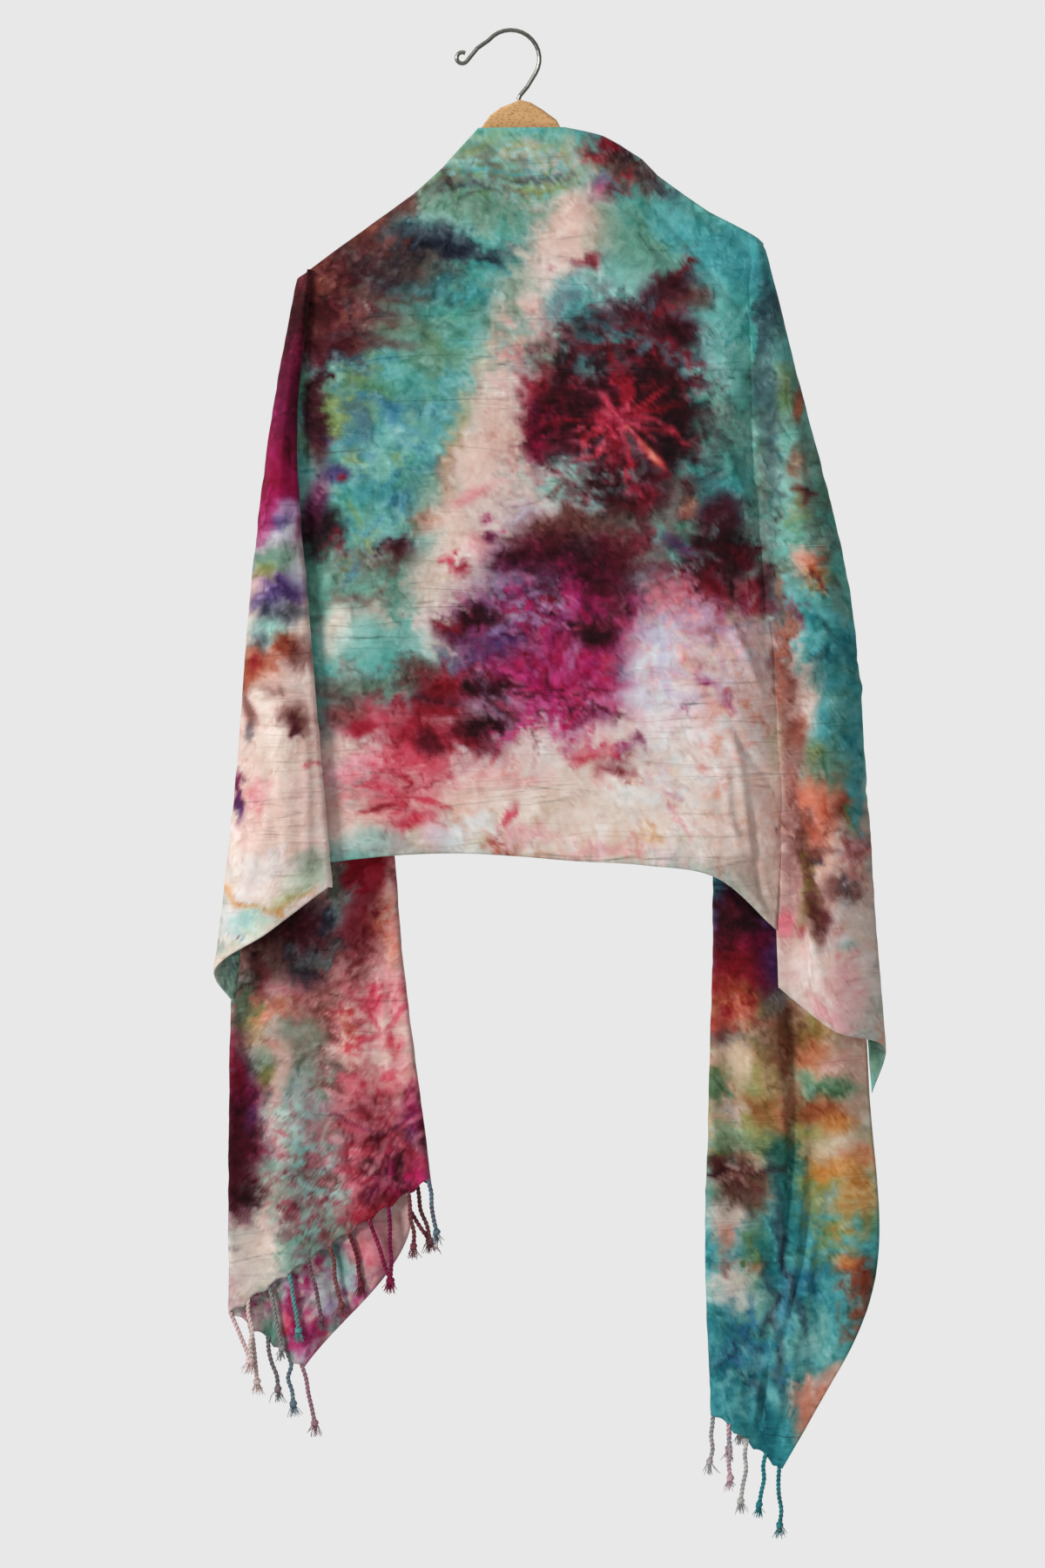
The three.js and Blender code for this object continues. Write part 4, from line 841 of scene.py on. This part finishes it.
def front_cloth(name, node, folds, seed):
    grid, along = drape(over_shoulder(folds), COARSE)
    return end_cloth(name, node, on_ridge(grid, 4), along, "turquoise", FRONT_BLOTS, [], -1, seed)


LEFT_FALL_BLOTS = [
    ("crimson", -27, -813, 80, 263, 0.8, 0, 44), ("sage", -27, -886, 80, 263, 0.7, 0, 31),
    ("plum", -27, -981, 80, 88, 0.8, 0, 36), ("blush", -27, -703, 80, 219, 0.7, 0, 25),
    ("sage", -180, -886, 102, 219, 0.9, 0, 14), ("crimson", -151, -813, 88, 131, 0.7, 0, 10),
    ("mist", -173, -886, 95, 204, 0.7, 0, 8), ("coral", -151, -835, 88, 117, 0.7, 0, 11),
    ("brown", -173, -835, 95, 146, 0.7, 0, 9), ("sage", -180, -835, 95, 146, 0.6, 0, 6),
    ("rose", -121, -835, 44, 88, 0.6, 0, 7), ("dusk", -173, -871, 88, 168, 0.8, 0, 10),
    ("pink", -143, -871, 80, 146, 0.85, 0, 8), ("brown", -158, -849, 51, 146, 0.6, 0, 7),
    ("blush", -107, -784, 29, 44, 0.5), ("coral", -194, -835, 44, 36, 0.5),
    ("turquoise", -165, -944, 44, 88, 0.5), ("sage", -209, -798, 22, 29, 0.5),
    ("crimson", -118, -703, 25, 22, 0.9), ("blush", -98, -725, 6, 51, 0.6),
    ("rose", -110, -711, 9, 10, 0.6), ("green", -140, -718, 10, 19, 0.6, 20),
    ("slate", -151, -754, 22, 22, 0.5), ("black wine", -200, -753, 36, 12, 0.85, 25),
    ("brown", -187, -765, 44, 18, 0.6, 20), ("slate", -165, -758, 29, 22, 0.5, 0, 8),
    ("wine", -173, -754, 19, 15, 0.6), ("navy", -152, -741, 6, 10, 0.7),
    ("mist", -138, -741, 10, 13, 0.8, 30), ("mist", -162, -773, 18, 9, 0.5),
    ("crimson", -125, -758, 16, 34, 0.75), ("brown", -123, -784, 15, 29, 0.6),
    ("coral", -102, -758, 7, 32, 0.7, 5), ("blush", -107, -784, 7, 29, 0.5),
    ("slate", -176, -784, 12, 15, 0.7, 20), ("navy", -167, -791, 7, 9, 0.6),
    ("crimson", -216, -798, 10, 19, 0.5), ("pink", -187, -798, 19, 10, 0.6),
    ("coral", -205, -820, 19, 15, 0.7), ("green", -224, -820, 10, 29, 0.6),
    ("olive", -216, -831, 10, 29, 0.4), ("mist", -194, -835, 15, 9, 0.5),
    ("brown", -154, -813, 19, 25, 0.7), ("brown", -147, -842, 15, 36, 0.6),
    ("sage", -173, -849, 15, 29, 0.6), ("rose", -118, -813, 26, 12, 0.8, 20),
    ("blush", -118, -820, 22, 4, 0.8, -25), ("rose", -100, -809, 16, 13, 0.7),
    ("rose", -114, -846, 26, 10, 0.75, 10), ("blush", -107, -860, 25, 10, 0.8),
    ("coral", -136, -842, 10, 22, 0.6), ("blush", -92, -835, 7, 29, 0.6),
    ("rose", -121, -878, 29, 12, 0.7, 10), ("pink", -100, -875, 18, 12, 0.7),
    ("crimson", -125, -900, 22, 15, 0.7), ("plum", -228, -911, 19, 66, 0.95),
    ("wine", -230, -951, 19, 44, 0.9), ("black wine", -216, -973, 18, 12, 0.6),
    ("crimson", -230, -871, 7, 22, 0.5), ("violet", -215, -915, 6, 10, 0.5),
    ("sage", -209, -864, 12, 18, 0.7), ("olive", -203, -878, 7, 10, 0.5), ("blush", -191, -886, 7, 44, 0.8),
    ("blush", -184, -930, 7, 36, 0.85, -15), ("pink", -193, -930, 6, 15, 0.5, 20),
    ("blush", -205, -984, 7, 22, 0.8, -10), ("sage", -200, -955, 9, 12, 0.7),
    ("mist", -173, -915, 15, 36, 0.6), ("mist", -162, -973, 19, 29, 0.6),
    ("turquoise", -173, -951, 18, 22, 0.5), ("brown", -152, -919, 9, 7, 0.7),
    ("sage", -153, -920, 4, 3, 0.6), ("brown", -159, -960, 9, 7, 0.6), ("mist", -159, -960, 4, 3, 0.6),
    ("wine", -181, -985, 7, 6, 0.8), ("crimson", -193, -988, 4, 6, 0.6), ("rust", -173, -1017, 7, 4, 0.7),
    ("rust", -154, -1013, 7, 3, 0.7), ("mist", -184, -1024, 22, 15, 0.7), ("sage", -143, -995, 18, 19, 0.6),
    ("rust", -125, -944, 7, 15, 0.4), ("wine", -103, -944, 29, 41, 0.8),
    ("crimson", -132, -944, 12, 29, 0.7), ("crimson", -121, -915, 19, 9, 0.8, 10),
    ("black wine", -111, -922, 22, 4, 0.8, 8), ("black wine", -107, -948, 25, 4, 0.7, -8),
    ("plum", -100, -966, 25, 15, 0.85), ("crimson", -118, -959, 29, 4, 0.7, -15),
    ("rose", -107, -937, 25, 3, 0.6, 6), ("crimson", -118, -988, 25, 12, 0.9, 20),
    ("rose", -103, -981, 15, 4, 0.6, 20), ("magenta", -96, -959, 12, 19, 0.7),
    ("black wine", -91, -930, 4, 29, 0.7), ("magenta", -84, -908, 9, 25, 0.8),
    ("fuchsia", -79, -955, 10, 18, 0.95), ("plum", -74, -922, 4, 10, 0.8),
    ("violet", -85, -922, 4, 15, 0.5), ("blush", -79, -930, 4, 9, 0.5),
    ("sage", -173, -973, 44, 66, 0.6, 0, 6), ("crimson", -158, -966, 51, 66, 0.5, 0, 5),
    ("black wine", -102, -948, 29, 36, 0.6, 0, 6), ("pink", -121, -944, 44, 51, 0.6, 0, 6),
    ("blush", -114, -849, 44, 66, 0.7, 0, 7), ("pink", -121, -835, 51, 80, 0.5, 0, 12),
    ("cream", -221, -1039, 22, 36, 0.95), ("blush", -209, -1013, 15, 15, 0.6),
    ("sage", -194, -1024, 7, 12, 0.5), ("blush", -309, -1068, 66, 66, 0.8),
    ("lavender", -316, -1068, 66, 66, 0.7, 0, 12), ("magenta", -316, -1068, 66, 66, 0.7, 0, 9),
    ("sage", -316, -1054, 66, 66, 0.6, 0, 8), ("sage", -290, -1101, 19, 25, 0.7),
    ("green", -338, -1032, 19, 10, 0.5, 30), ("mist", -342, -1039, 18, 15, 0.6, 30),
    ("pink", -356, -1024, 15, 12, 0.8, 40), ("magenta", -303, -1061, 7, 19, 0.6, 20),
    ("magenta", -315, -1090, 18, 12, 0.75, 30), ("rose", -298, -1083, 7, 9, 0.7),
    ("lavender", -336, -1068, 10, 9, 0.9, 30), ("plum", -345, -1054, 7, 4, 0.5, 30),
    ("pink", -367, -1013, 12, 22, 0.6), ("ice", -320, -1054, 12, 10, 0.6),
    ("magenta", -331, -1083, 7, 7, 0.6), ("crimson", -293, -1113, 9, 7, 0.95),
    ("green", -283, -1090, 10, 9, 0.6), ("fuchsia", -309, -1101, 7, 6, 0.6),
]
LEFT_FALL_BLOTS += (burst(-104, -925, 12, 58, 24, 0.4, "crimson", "wine", "rose", "pink", "plum", "crimson")
                    + burst(-110, -836, 14, 40, 12, 0.6, "blush", "rose", "blush")
                    + burst(-158, -880, 6, 15, 9, 0.6, "brown", "sage")
                    + burst(-160, -960, 6, 16, 9, 0.6, "brown", "mist"))
LEFT_CREASES = [
    (-116, -700, -92, -980, 6, 1.8), (-150, -700, -140, -1010, 7, -1.8), (-196, -800, -192, -1040, 6, 1.6),
    (-136, -890, -80, -940, 3, -1.3), (-134, -905, -78, -965, 3, 1.2), (-130, -930, -84, -975, 3, -1.2),
    (-225, -780, -226, -1060, 5, -1.0), (-120, -760, -100, -860, 3, 1.0),
]
RIGHT_FALL_BLOTS = [
    ("deep teal", 229, -1068, 88, 146, 0.6, 0, 16), ("mist", 229, -1068, 88, 131, 0.5, 0, 9),
    ("green", 244, -1032, 73, 146, 0.4, 0, 13), ("blush", 233, -871, 95, 102, 1),
    ("olive", 229, -878, 88, 88, 0.8, 0, 12), ("coral", 229, -878, 88, 88, 0.6, 0, 10),
    ("sage", 192, -922, 44, 44, 0.7, 0, 9), ("plum", 196, -747, 36, 36, 0.95),
    ("black wine", 192, -740, 25, 16, 0.8), ("violet", 214, -743, 10, 12, 0.7, 30),
    ("magenta", 207, -769, 12, 10, 0.6), ("plum", 207, -787, 25, 19, 0.9),
    ("violet", 223, -785, 9, 18, 0.7), ("sage", 229, -893, 80, 44, 0.6, 0, 9),
    ("pink", 229, -871, 80, 36, 0.5, 0, 12), ("crimson", 184, -784, 18, 25, 0.8),
    ("wine", 178, -747, 10, 29, 0.7), ("rust", 187, -813, 18, 16, 0.9, 10),
    ("coral", 189, -831, 10, 10, 0.8), ("crimson", 182, -835, 12, 9, 0.6),
    ("crimson", 189, -813, 25, 29, 0.7, 0, 7), ("coral", 187, -824, 19, 19, 0.6, 0, 6),
    ("slate", 218, -813, 10, 12, 0.5), ("lavender", 224, -811, 7, 9, 0.5),
    ("slate", 184, -846, 16, 7, 0.45), ("teal", 207, -849, 12, 4, 0.5), ("brown", 225, -842, 22, 22, 0.7),
    ("rust", 247, -849, 15, 12, 0.5), ("olive", 244, -835, 15, 10, 0.4), ("blush", 192, -867, 15, 13, 0.8),
    ("coral", 231, -867, 6, 32, 0.75, 4), ("brown", 222, -875, 6, 29, 0.5),
    ("coral", 254, -860, 12, 16, 0.8), ("dusk", 284, -878, 19, 58, 0.9), ("pink", 273, -860, 12, 10, 0.5),
    ("mist", 247, -884, 16, 12, 0.6), ("green", 265, -886, 22, 9, 0.85), ("teal", 254, -889, 7, 4, 0.7),
    ("green", 179, -886, 10, 13, 0.6), ("blush", 196, -893, 10, 44, 0.6), ("olive", 208, -886, 5, 36, 0.5),
    ("dusk", 196, -904, 15, 12, 0.8), ("lavender", 189, -908, 7, 9, 0.6), ("olive", 207, -915, 7, 15, 0.5),
    ("rust", 220, -904, 12, 12, 0.8), ("rust", 262, -904, 22, 12, 0.9, -15),
    ("orange", 276, -915, 13, 10, 0.6), ("rust", 236, -915, 6, 22, 0.5), ("green", 189, -931, 13, 10, 0.5),
    ("olive", 233, -933, 7, 19, 0.5), ("blush", 273, -940, 29, 15, 0.8), ("coral", 291, -944, 12, 10, 0.6),
    ("brown", 192, -951, 13, 18, 0.8), ("wine", 181, -955, 7, 12, 0.6), ("slate", 191, -948, 4, 7, 0.6),
    ("brown", 196, -977, 16, 15, 0.7), ("sage", 200, -930, 22, 9, 0.5),
    # The brown at x 233 in this line lies in the valley of a deep fold: painted shade.
    ("brown", 233, -849, 7, 44, 0.5, -4), ("coral", 227, -915, 4, 36, 0.4, 2),
    ("olive", 219, -900, 6, 51, 0.4, 2), ("deep teal", 231, -948, 12, 25, 0.85),
    ("deep teal", 233, -988, 13, 44, 0.85), ("brown", 211, -966, 7, 19, 0.6),
    ("orange", 262, -955, 19, 10, 0.8), ("olive", 251, -966, 13, 9, 0.6),
    ("orange", 291, -973, 16, 25, 0.75), ("olive", 291, -1003, 12, 12, 0.6),
    ("blush", 181, -999, 16, 18, 0.85), ("coral", 178, -1013, 7, 12, 0.6),
    ("olive", 207, -1024, 10, 22, 0.6), ("rust", 206, -1035, 6, 7, 0.6), ("teal", 269, -1024, 34, 29, 0.85),
    ("mist", 280, -995, 10, 15, 0.5), ("teal", 273, -1003, 15, 15, 0.6),
    ("rust", 284, -1039, 18, 10, 0.85, -20), ("rust", 295, -1061, 9, 22, 0.85),
    ("orange", 279, -1035, 7, 6, 0.6), ("cream", 184, -1050, 19, 23, 0.95),
    ("sage", 206, -1061, 10, 19, 0.6), ("deep teal", 214, -1039, 7, 36, 0.7),
    ("brown", 178, -1035, 9, 6, 0.5), ("cream", 189, -1068, 19, 7, 0.7),
    ("deep teal", 247, -1057, 25, 25, 0.6), ("mist", 251, -1076, 36, 36, 0.6, 0, 8),
    ("teal", 265, -1068, 29, 15, 0.8), ("deep teal", 192, -1123, 36, 41, 0.75),
    ("mist", 207, -1119, 44, 44, 0.6, 0, 8), ("blue", 200, -1112, 44, 44, 0.25, 0, 7),
    ("sage", 214, -1097, 44, 44, 0.3, 0, 9), ("teal", 200, -1108, 22, 10, 0.6),
    ("blue", 247, -1046, 15, 9, 0.4), ("blue", 225, -1068, 6, 22, 0.4), ("blue", 185, -1112, 15, 10, 0.35),
    ("mist", 254, -1094, 19, 12, 0.6), ("mist", 240, -1112, 19, 10, 0.5), ("teal", 284, -1090, 19, 13, 0.7),
    ("green", 291, -1101, 10, 10, 0.7), ("coral", 269, -1134, 22, 12, 0.7, 30),
    ("coral", 247, -1152, 22, 16, 0.9, 20), ("blush", 254, -1138, 15, 7, 0.6, 20),
    ("teal", 269, -1156, 7, 15, 0.6, -30), ("olive", 229, -893, 80, 80, 0.22),
    ("olive", 262, -1003, 22, 36, 0.6, 0, 8), ("rust", 286, -1068, 13, 36, 0.7, 0, 9),
    # The slate and navy rows at x 211 to 233 in the next three lines lie in the valleys of the deep folds:
    # painted shade.
    ("orange", 280, -995, 18, 36, 0.5, 0, 8), ("slate", 227, -1010, 4, 58, 0.6, 4),
    ("slate", 217, -1083, 4, 66, 0.55, 7), ("navy", 211, -1156, 4, 44, 0.5, 10),
    ("navy", 233, -1054, 3, 51, 0.45, 12), ("blue", 192, -1090, 19, 2, 0.7, 30),
    ("blue", 244, -1097, 16, 1, 0.6, 40), ("blue", 258, -1068, 15, 1, 0.6, -50),
    ("blue", 229, -1127, 16, 1, 0.6, 60), ("navy", 198, -1134, 10, 1, 0.5, -30),
    ("deep teal", 218, -1178, 16, 32, 0.8), ("teal", 233, -1185, 12, 19, 0.85),
    ("coral", 247, -1170, 9, 10, 0.7), ("mist", 218, -1149, 4, 15, 0.4, 10),
]
RIGHT_FALL_BLOTS += (burst(196, -960, 10, 34, 12, 0.5, "wine", "blush", "brown")
                     + burst(200, -1100, 10, 40, 14, 0.5, "blue", "deep teal", "navy"))
RIGHT_CREASES = [
    (232, -780, 238, -950, 4, -4.4), (238, -900, 228, -1070, 4, -4.6), (230, -1030, 204, -1180, 4, -4.4),
    (223, -780, 229, -960, 4, 3.0), (246, -900, 240, -1060, 5, 3.4), (256, -975, 222, -1120, 3, -4.0),
    (262, -980, 232, -1120, 4, 3.0), (222, -1090, 202, -1176, 3, 3.0), (232, -1120, 222, -1200, 3, -3.0),
    (238, -1100, 230, -1196, 3, 2.6), (196, -860, 200, -1100, 8, 2.0), (272, -860, 276, -1080, 8, -1.8),
    (290, -1060, 252, -1150, 4, 1.8), (214, -1060, 190, -1160, 4, 1.8),
]
# The fronts carry the back's blots over the shoulders, with its dye and the painted shade of its right
# valley, and below it broad patches of their own.
FRONT_BLOTS = BACK_BLOTS + [
    ("cream", 0, -880, 420, 260, 0.9, 0, 64), ("plum", 0, -860, 420, 260, 0.9, 0, 52),
    ("rust", 0, -840, 420, 260, 0.7, 0, 41), ("fuchsia", 0, -940, 420, 200, 0.7, 0, 47),
    ("mist", 0, -760, 420, 300, 0.6, 0, 30), ("wine", 0, -840, 420, 260, 0.6, 0, 24),
]
left_front = front_cloth("left_front_cloth", "left_front", LEFT_FRONT, 16)
grid, along = drape(LEFT_FALL, FINE, ("near edge", "outer fold"))
left_end = end_cloth("left_end_cloth", "left_fall", grid, along, "dusk", LEFT_FALL_BLOTS, LEFT_CREASES,
                     1, 14)
right_front = front_cloth("right_front_cloth", "right_front", RIGHT_FRONT, 17)
grid, along = drape(RIGHT_FALL, FINE, ("near edge", "hem edge"))
right_end = end_cloth("right_end_cloth", "right_fall", grid, along, "teal", RIGHT_FALL_BLOTS, RIGHT_CREASES,
                      -1, 15)

# ---------------------------------------------------------------------------------------------
# Fringe: the warp ends of both short edges, twisted two by two into thin cords 22 mm apart and
# then knotted, about one in four together with the next, with a frayed tuft under each knot.
# ---------------------------------------------------------------------------------------------

PLY = 1.15             # radius of one ply; two plies make a cord
TWIST = 7.5            # length of cord for one turn of the plies
PAIR_GAP = 30          # only cords nearer to each other than this are knotted together
PAIR_SHARE = 0.28      # how many of those are
DROP = (40, 51)        # how far below the edge a knot hangs
INSET = 12             # how much further inside the hidden layer's cords hang
CORD_DYES = [          # x of a cord's root, and the dye its threads took most of
    (-236, "pearl"), (-222, "dusk"), (-210, "slate"), (-192, "deep teal"), (-180, "brown"), (-168, "plum"),
    (-148, "brown"), (-130, "wine"), (-110, "plum"), (-92, "brown"), (-75, "deep teal"), (168, "dusk"),
    (184, "pink"), (198, "blush"), (222, "deep teal"), (260, "dusk")]


def unit(vectors):
    return vectors / np.maximum(np.linalg.norm(vectors, axis=1, keepdims=True), 1e-9)


def tube(centre, radius, sides):
    """Points and quads of an open round tube along a path, with one radius for each point."""
    ahead = unit(np.gradient(centre, axis=0))
    out = unit(np.cross(ahead, (0.3, 1, 0.1)))
    side = np.cross(ahead, out)
    angle = np.linspace(0, 2 * math.pi, sides, endpoint=False)
    ring = out[:, None] * np.cos(angle)[:, None] + side[:, None] * np.sin(angle)[:, None]
    points = (centre[:, None] + ring * radius[:, None, None]).reshape(-1, 3)
    index = np.arange(len(points)).reshape(len(centre), sides)
    turned = np.roll(index, -1, axis=1)
    faces = np.stack([index[:-1], turned[:-1], turned[1:], index[1:]], axis=-1).reshape(-1, 4)
    return points, faces


def twisted(path, start, steps):
    """The two plies of one cord along a path."""
    share = np.linspace(0, 1, steps)
    centre = curve_through(path, share * (len(path) - 1))
    ahead = unit(np.gradient(centre, axis=0))
    out = unit(np.cross(ahead, (0, 1, 0)))
    angle = start + 2 * math.pi * share[:, None] * walked_along(path)[-1] / TWIST
    plies = []
    for turn in (0, math.pi):
        offset = out * np.cos(angle + turn) + np.cross(ahead, out) * np.sin(angle + turn)
        plies.append(tube(centre + offset * PLY * 0.8, np.full(steps, PLY), 5))
    return plies


def knot_and_tuft(knot, joined, chance):
    """Two or three turns of cord round the knot, and the frayed ends that hang out of it."""
    tubes = []
    angle = np.linspace(0, 2 * math.pi, 15)
    for turn in range(3 if joined else 2):
        size = (2.2 if joined else 1.7) * chance.uniform(0.85, 1.15)
        loop = knot + np.stack([size * np.cos(angle), size * np.sin(angle),
                                1.3 * np.sin(angle + turn * 2.2) - turn], axis=1)
        tubes.append(tube(loop, np.full(15, 1.5), 6))
    for _ in range(46 if joined else 30):
        spread = chance.normal(0, 1, 2) * (3.2 if joined else 2.5)
        fall = chance.uniform(6, 12)
        path = np.array([knot, knot + (spread[0] * 0.6, spread[1] * 0.5, -fall * 0.45),
                         knot + (spread[0] + chance.normal(0, 1.4), spread[1] * 0.8, -fall)])
        hair = curve_through(path, np.linspace(0, 2, 7))
        tubes.append(tube(hair, np.linspace(0.34, 0.2, 7), 4))
    return tubes


def cord_roots(ends):
    """Where each cord leaves the lower edges, and what the cloth is dyed with there."""
    roots = []
    for _, edge, along, ground, blots in ends:
        walked = walked_along(edge)
        for reach in (*np.arange(FIRST_CORD, walked[-1] - 8, CORD_SPACING), walked[-1] - 3):
            place = np.array([np.interp(reach, walked, edge[:, i]) for i in range(3)])
            spot = np.array([np.interp(reach, walked, along)])
            roots.append((place, spot, ground, blots))
    return roots


def fringe_piece(name, node, ends, lean, seed):
    """All cords of one end as one piece. Lean is how far a cord swings to the right."""
    chance = np.random.default_rng(seed)
    roots = cord_roots(ends)
    tubes, shades = [], []
    while roots:
        pair = roots[:2]
        joined = (len(pair) == 2 and np.linalg.norm(pair[0][0] - pair[1][0]) < PAIR_GAP
                  and chance.random() < PAIR_SHARE)
        group = pair if joined else pair[:1]
        roots = roots[len(group):]
        meet = np.mean([root[0] for root in group], axis=0)
        low = min(root[0][2] for root in group)
        inner = INSET * np.sign(meet[0]) * (meet[1] > 22)
        knot = np.array([meet[0] + lean - inner + chance.uniform(-4, 4), meet[1] - 1.2,
                         low - chance.uniform(*DROP)])
        thread = linear(srgb(DYES[min(CORD_DYES, key=lambda row: abs(row[0] - meet[0]))[1]]))
        for root, spot, ground, blots in group:
            tint = painted(ground, blots, spot, np.array([root[2] + 8.0]), 3.0)[0]
            tint[:3] = 0.35 * tint[:3] + 0.65 * thread
            other = tint * 0.6 + 0.4 * painted(ground, blots, spot + 20, np.array([root[2] + 22.0]), 11.0)[0]
            top = root + (0, 0, 1.5)
            path = [top + (knot - top) * f + (sway * 4 * f * (1 - f), 0, 0) for f, sway in
                    zip((0, 0.25, 0.5, 0.75, 1), chance.normal(0, 1.3, 5))]
            plies = twisted(np.array(path), chance.uniform(0, 6), 44)
            tubes += plies
            shades += [(tint, other)] * len(plies)
        made = knot_and_tuft(knot, joined, chance)
        tubes += made
        shades += [(tint, other)] * len(made)
    counts = [len(points) for points, _ in tubes]
    starts = np.cumsum([0] + counts[:-1])
    points = np.concatenate([points for points, _ in tubes])
    faces = np.concatenate([faces + start for (_, faces), start in zip(tubes, starts)])
    tints, others = np.repeat(np.array(shades), counts, axis=0).swapaxes(0, 1)
    # In the bake's square each face has a small box of its own.
    side = math.ceil(math.sqrt(len(faces)))
    cell = np.arange(len(faces))
    corner = np.array([(0.05, 0.05), (0.95, 0.05), (0.95, 0.95), (0.05, 0.95)])
    places = (np.stack([cell % side, cell // side], axis=1)[:, None] + corner) / side
    piece = mesh_piece(name, points, faces, cord_rayon, {"dye_and_shade": tints, "bleed_and_shade": others},
                       points[:, (0, 2, 1)], places)
    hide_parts(node)
    return piece


cord_rayon = dyed_rayon("twisted rayon cord, dyed with the cloth", 0.6)
left_cords = fringe_piece("left_fringe_cords", "left_fringe", (left_front, left_end), 8, 17)
right_cords = fringe_piece("right_fringe_cords", "right_fringe", (right_front, right_end), -2, 18)

# ---------------------------------------------------------------------------------------------
# Hanger: a flat board of clear-lacquered pale wood, cut to a shoulder shape, and a hook bent
# from plated steel wire, screwed into the middle of the top.
# ---------------------------------------------------------------------------------------------

wood, tree = blank_material("lacquered pale wood")
where = add(tree, "ShaderNodeTexCoord").outputs["Object"]
long = add(tree, "ShaderNodeMapping", {}, Vector=where, Scale=(12.0, 60.0, 60.0)).outputs[0]
figure = clouds(tree, long, "3D", Scale=2.0, Detail=5.0, Distortion=0.6)
shade = mixed(tree, ramp(tree, figure, 0.3, 0.7), colour("#C59662"), colour("#D3A772"))
# Short dark pores, 0.4 by 1.5 mm, drawn twice that size so that they show.
short = add(tree, "ShaderNodeMapping", {}, Vector=where, Scale=(420.0, 1100.0, 1100.0)).outputs[0]
pore = clouds(tree, short, "3D", Scale=0.8, Detail=3.0)
shade = mixed(tree, ramp(tree, pore, 0.5, 0.66, 0.0, 0.7), shade, colour("#8A5E36"))
relief = add(tree, "ShaderNodeBump", {}, Strength=0.1, Distance=0.0003, Height=pore)
surface = add(tree, "ShaderNodeBsdfPrincipled", {}, Base_Color=shade, Roughness=0.38,
              Normal=relief.outputs[0], Coat_Weight=0.3, Coat_Roughness=0.25)
add(tree, "ShaderNodeOutputMaterial", {}, Surface=surface.outputs[0])

steel, tree = blank_material("plated steel wire, slightly tarnished")
where = add(tree, "ShaderNodeTexCoord").outputs["Object"]
haze = clouds(tree, where, "3D", Scale=260.0, Detail=4.0)
tone = mixed(tree, haze, colour("#5B5A55"), colour("#7E7C76"))
surface = add(tree, "ShaderNodeBsdfPrincipled", {}, Base_Color=tone, Metallic=1.0,
              Roughness=ramp(tree, haze, 0.35, 0.7, 0.36, 0.46))
add(tree, "ShaderNodeOutputMaterial", {}, Surface=surface.outputs[0])

for node, finish in (("hanger_wood", wood), ("hanger_hook", steel)):
    for slot in bpy.data.objects[node].material_slots:
        slot.material = finish

# ---------------------------------------------------------------------------------------------
# Studio: a round pale floor far below, soft light from above on the left, an even pale
# background, and the camera level with the middle of the scarf, square to its back.
# ---------------------------------------------------------------------------------------------

FLOOR = -1.6
FLOOR_RADIUS = 2.0
FLOOR_SIDES = 96
MIDDLE = (0, 0, -0.6)  # of the scarf, in metres
PALE = colour("#E8E8E8")

mesh = bpy.data.meshes.new("studio_floor")
ring = [(FLOOR_RADIUS * math.cos(a), FLOOR_RADIUS * math.sin(a), FLOOR)
        for a in np.linspace(0, 2 * math.pi, FLOOR_SIDES, endpoint=False)]
mesh.from_pydata(ring, [], [tuple(range(FLOOR_SIDES))])
paper, tree = blank_material("pale studio paper")
surface = add(tree, "ShaderNodeBsdfPrincipled", {}, Base_Color=colour("#D8D8D8"), Roughness=0.95,
              Emission_Color=PALE, Emission_Strength=0.35)
add(tree, "ShaderNodeOutputMaterial", {}, Surface=surface.outputs[0])
mesh.materials.append(paper)
floor = bpy.data.objects.new("studio_floor", mesh)
bpy.context.scene.collection.objects.link(floor)

for name, place, aim, size, power in (
        ("key", (-2.4, -2.0, 0.8), MIDDLE, 0.8, 98),
        ("fill", (2.4, -2.6, -0.4), MIDDLE, 2.4, 5),
        ("top", (0.0, -0.6, 1.9), (0, 0.3, -0.6), 2.2, 16),
        ("rear", (0.6, 3.0, 0.4), MIDDLE, 2.0, 34)):
    lamp = bpy.data.lights.new(name, "AREA")
    lamp.size = size
    lamp.energy = power
    light = bpy.data.objects.new(name, lamp)
    light.location = place
    light.rotation_euler = (Vector(aim) - Vector(place)).to_track_quat("-Z", "Y").to_euler()
    bpy.context.scene.collection.objects.link(light)

world = bpy.data.worlds.new("studio")
world.use_nodes = True
tree = world.node_tree
backdrop = tree.nodes["Background"]
backdrop.inputs["Color"].default_value = PALE
# What is seen behind the scarf is brighter than the light that it gives.
seen = add(tree, "ShaderNodeLightPath").outputs["Is Camera Ray"]
tree.links.new(ramp(tree, seen, 0.0, 1.0, 0.36, 1.0), backdrop.inputs["Strength"])
bpy.context.scene.world = world
bpy.context.scene.view_settings.view_transform = "Standard"

lens = bpy.data.cameras.new("camera")
lens.sensor_fit = "VERTICAL"
lens.sensor_height = 36
lens.lens = 123.3
camera = bpy.data.objects.new("camera", lens)
camera.location = (0.0099, -4.5, -0.630)
camera.rotation_euler = (math.radians(90), 0, 0)
bpy.context.scene.collection.objects.link(camera)
bpy.context.scene.camera = camera
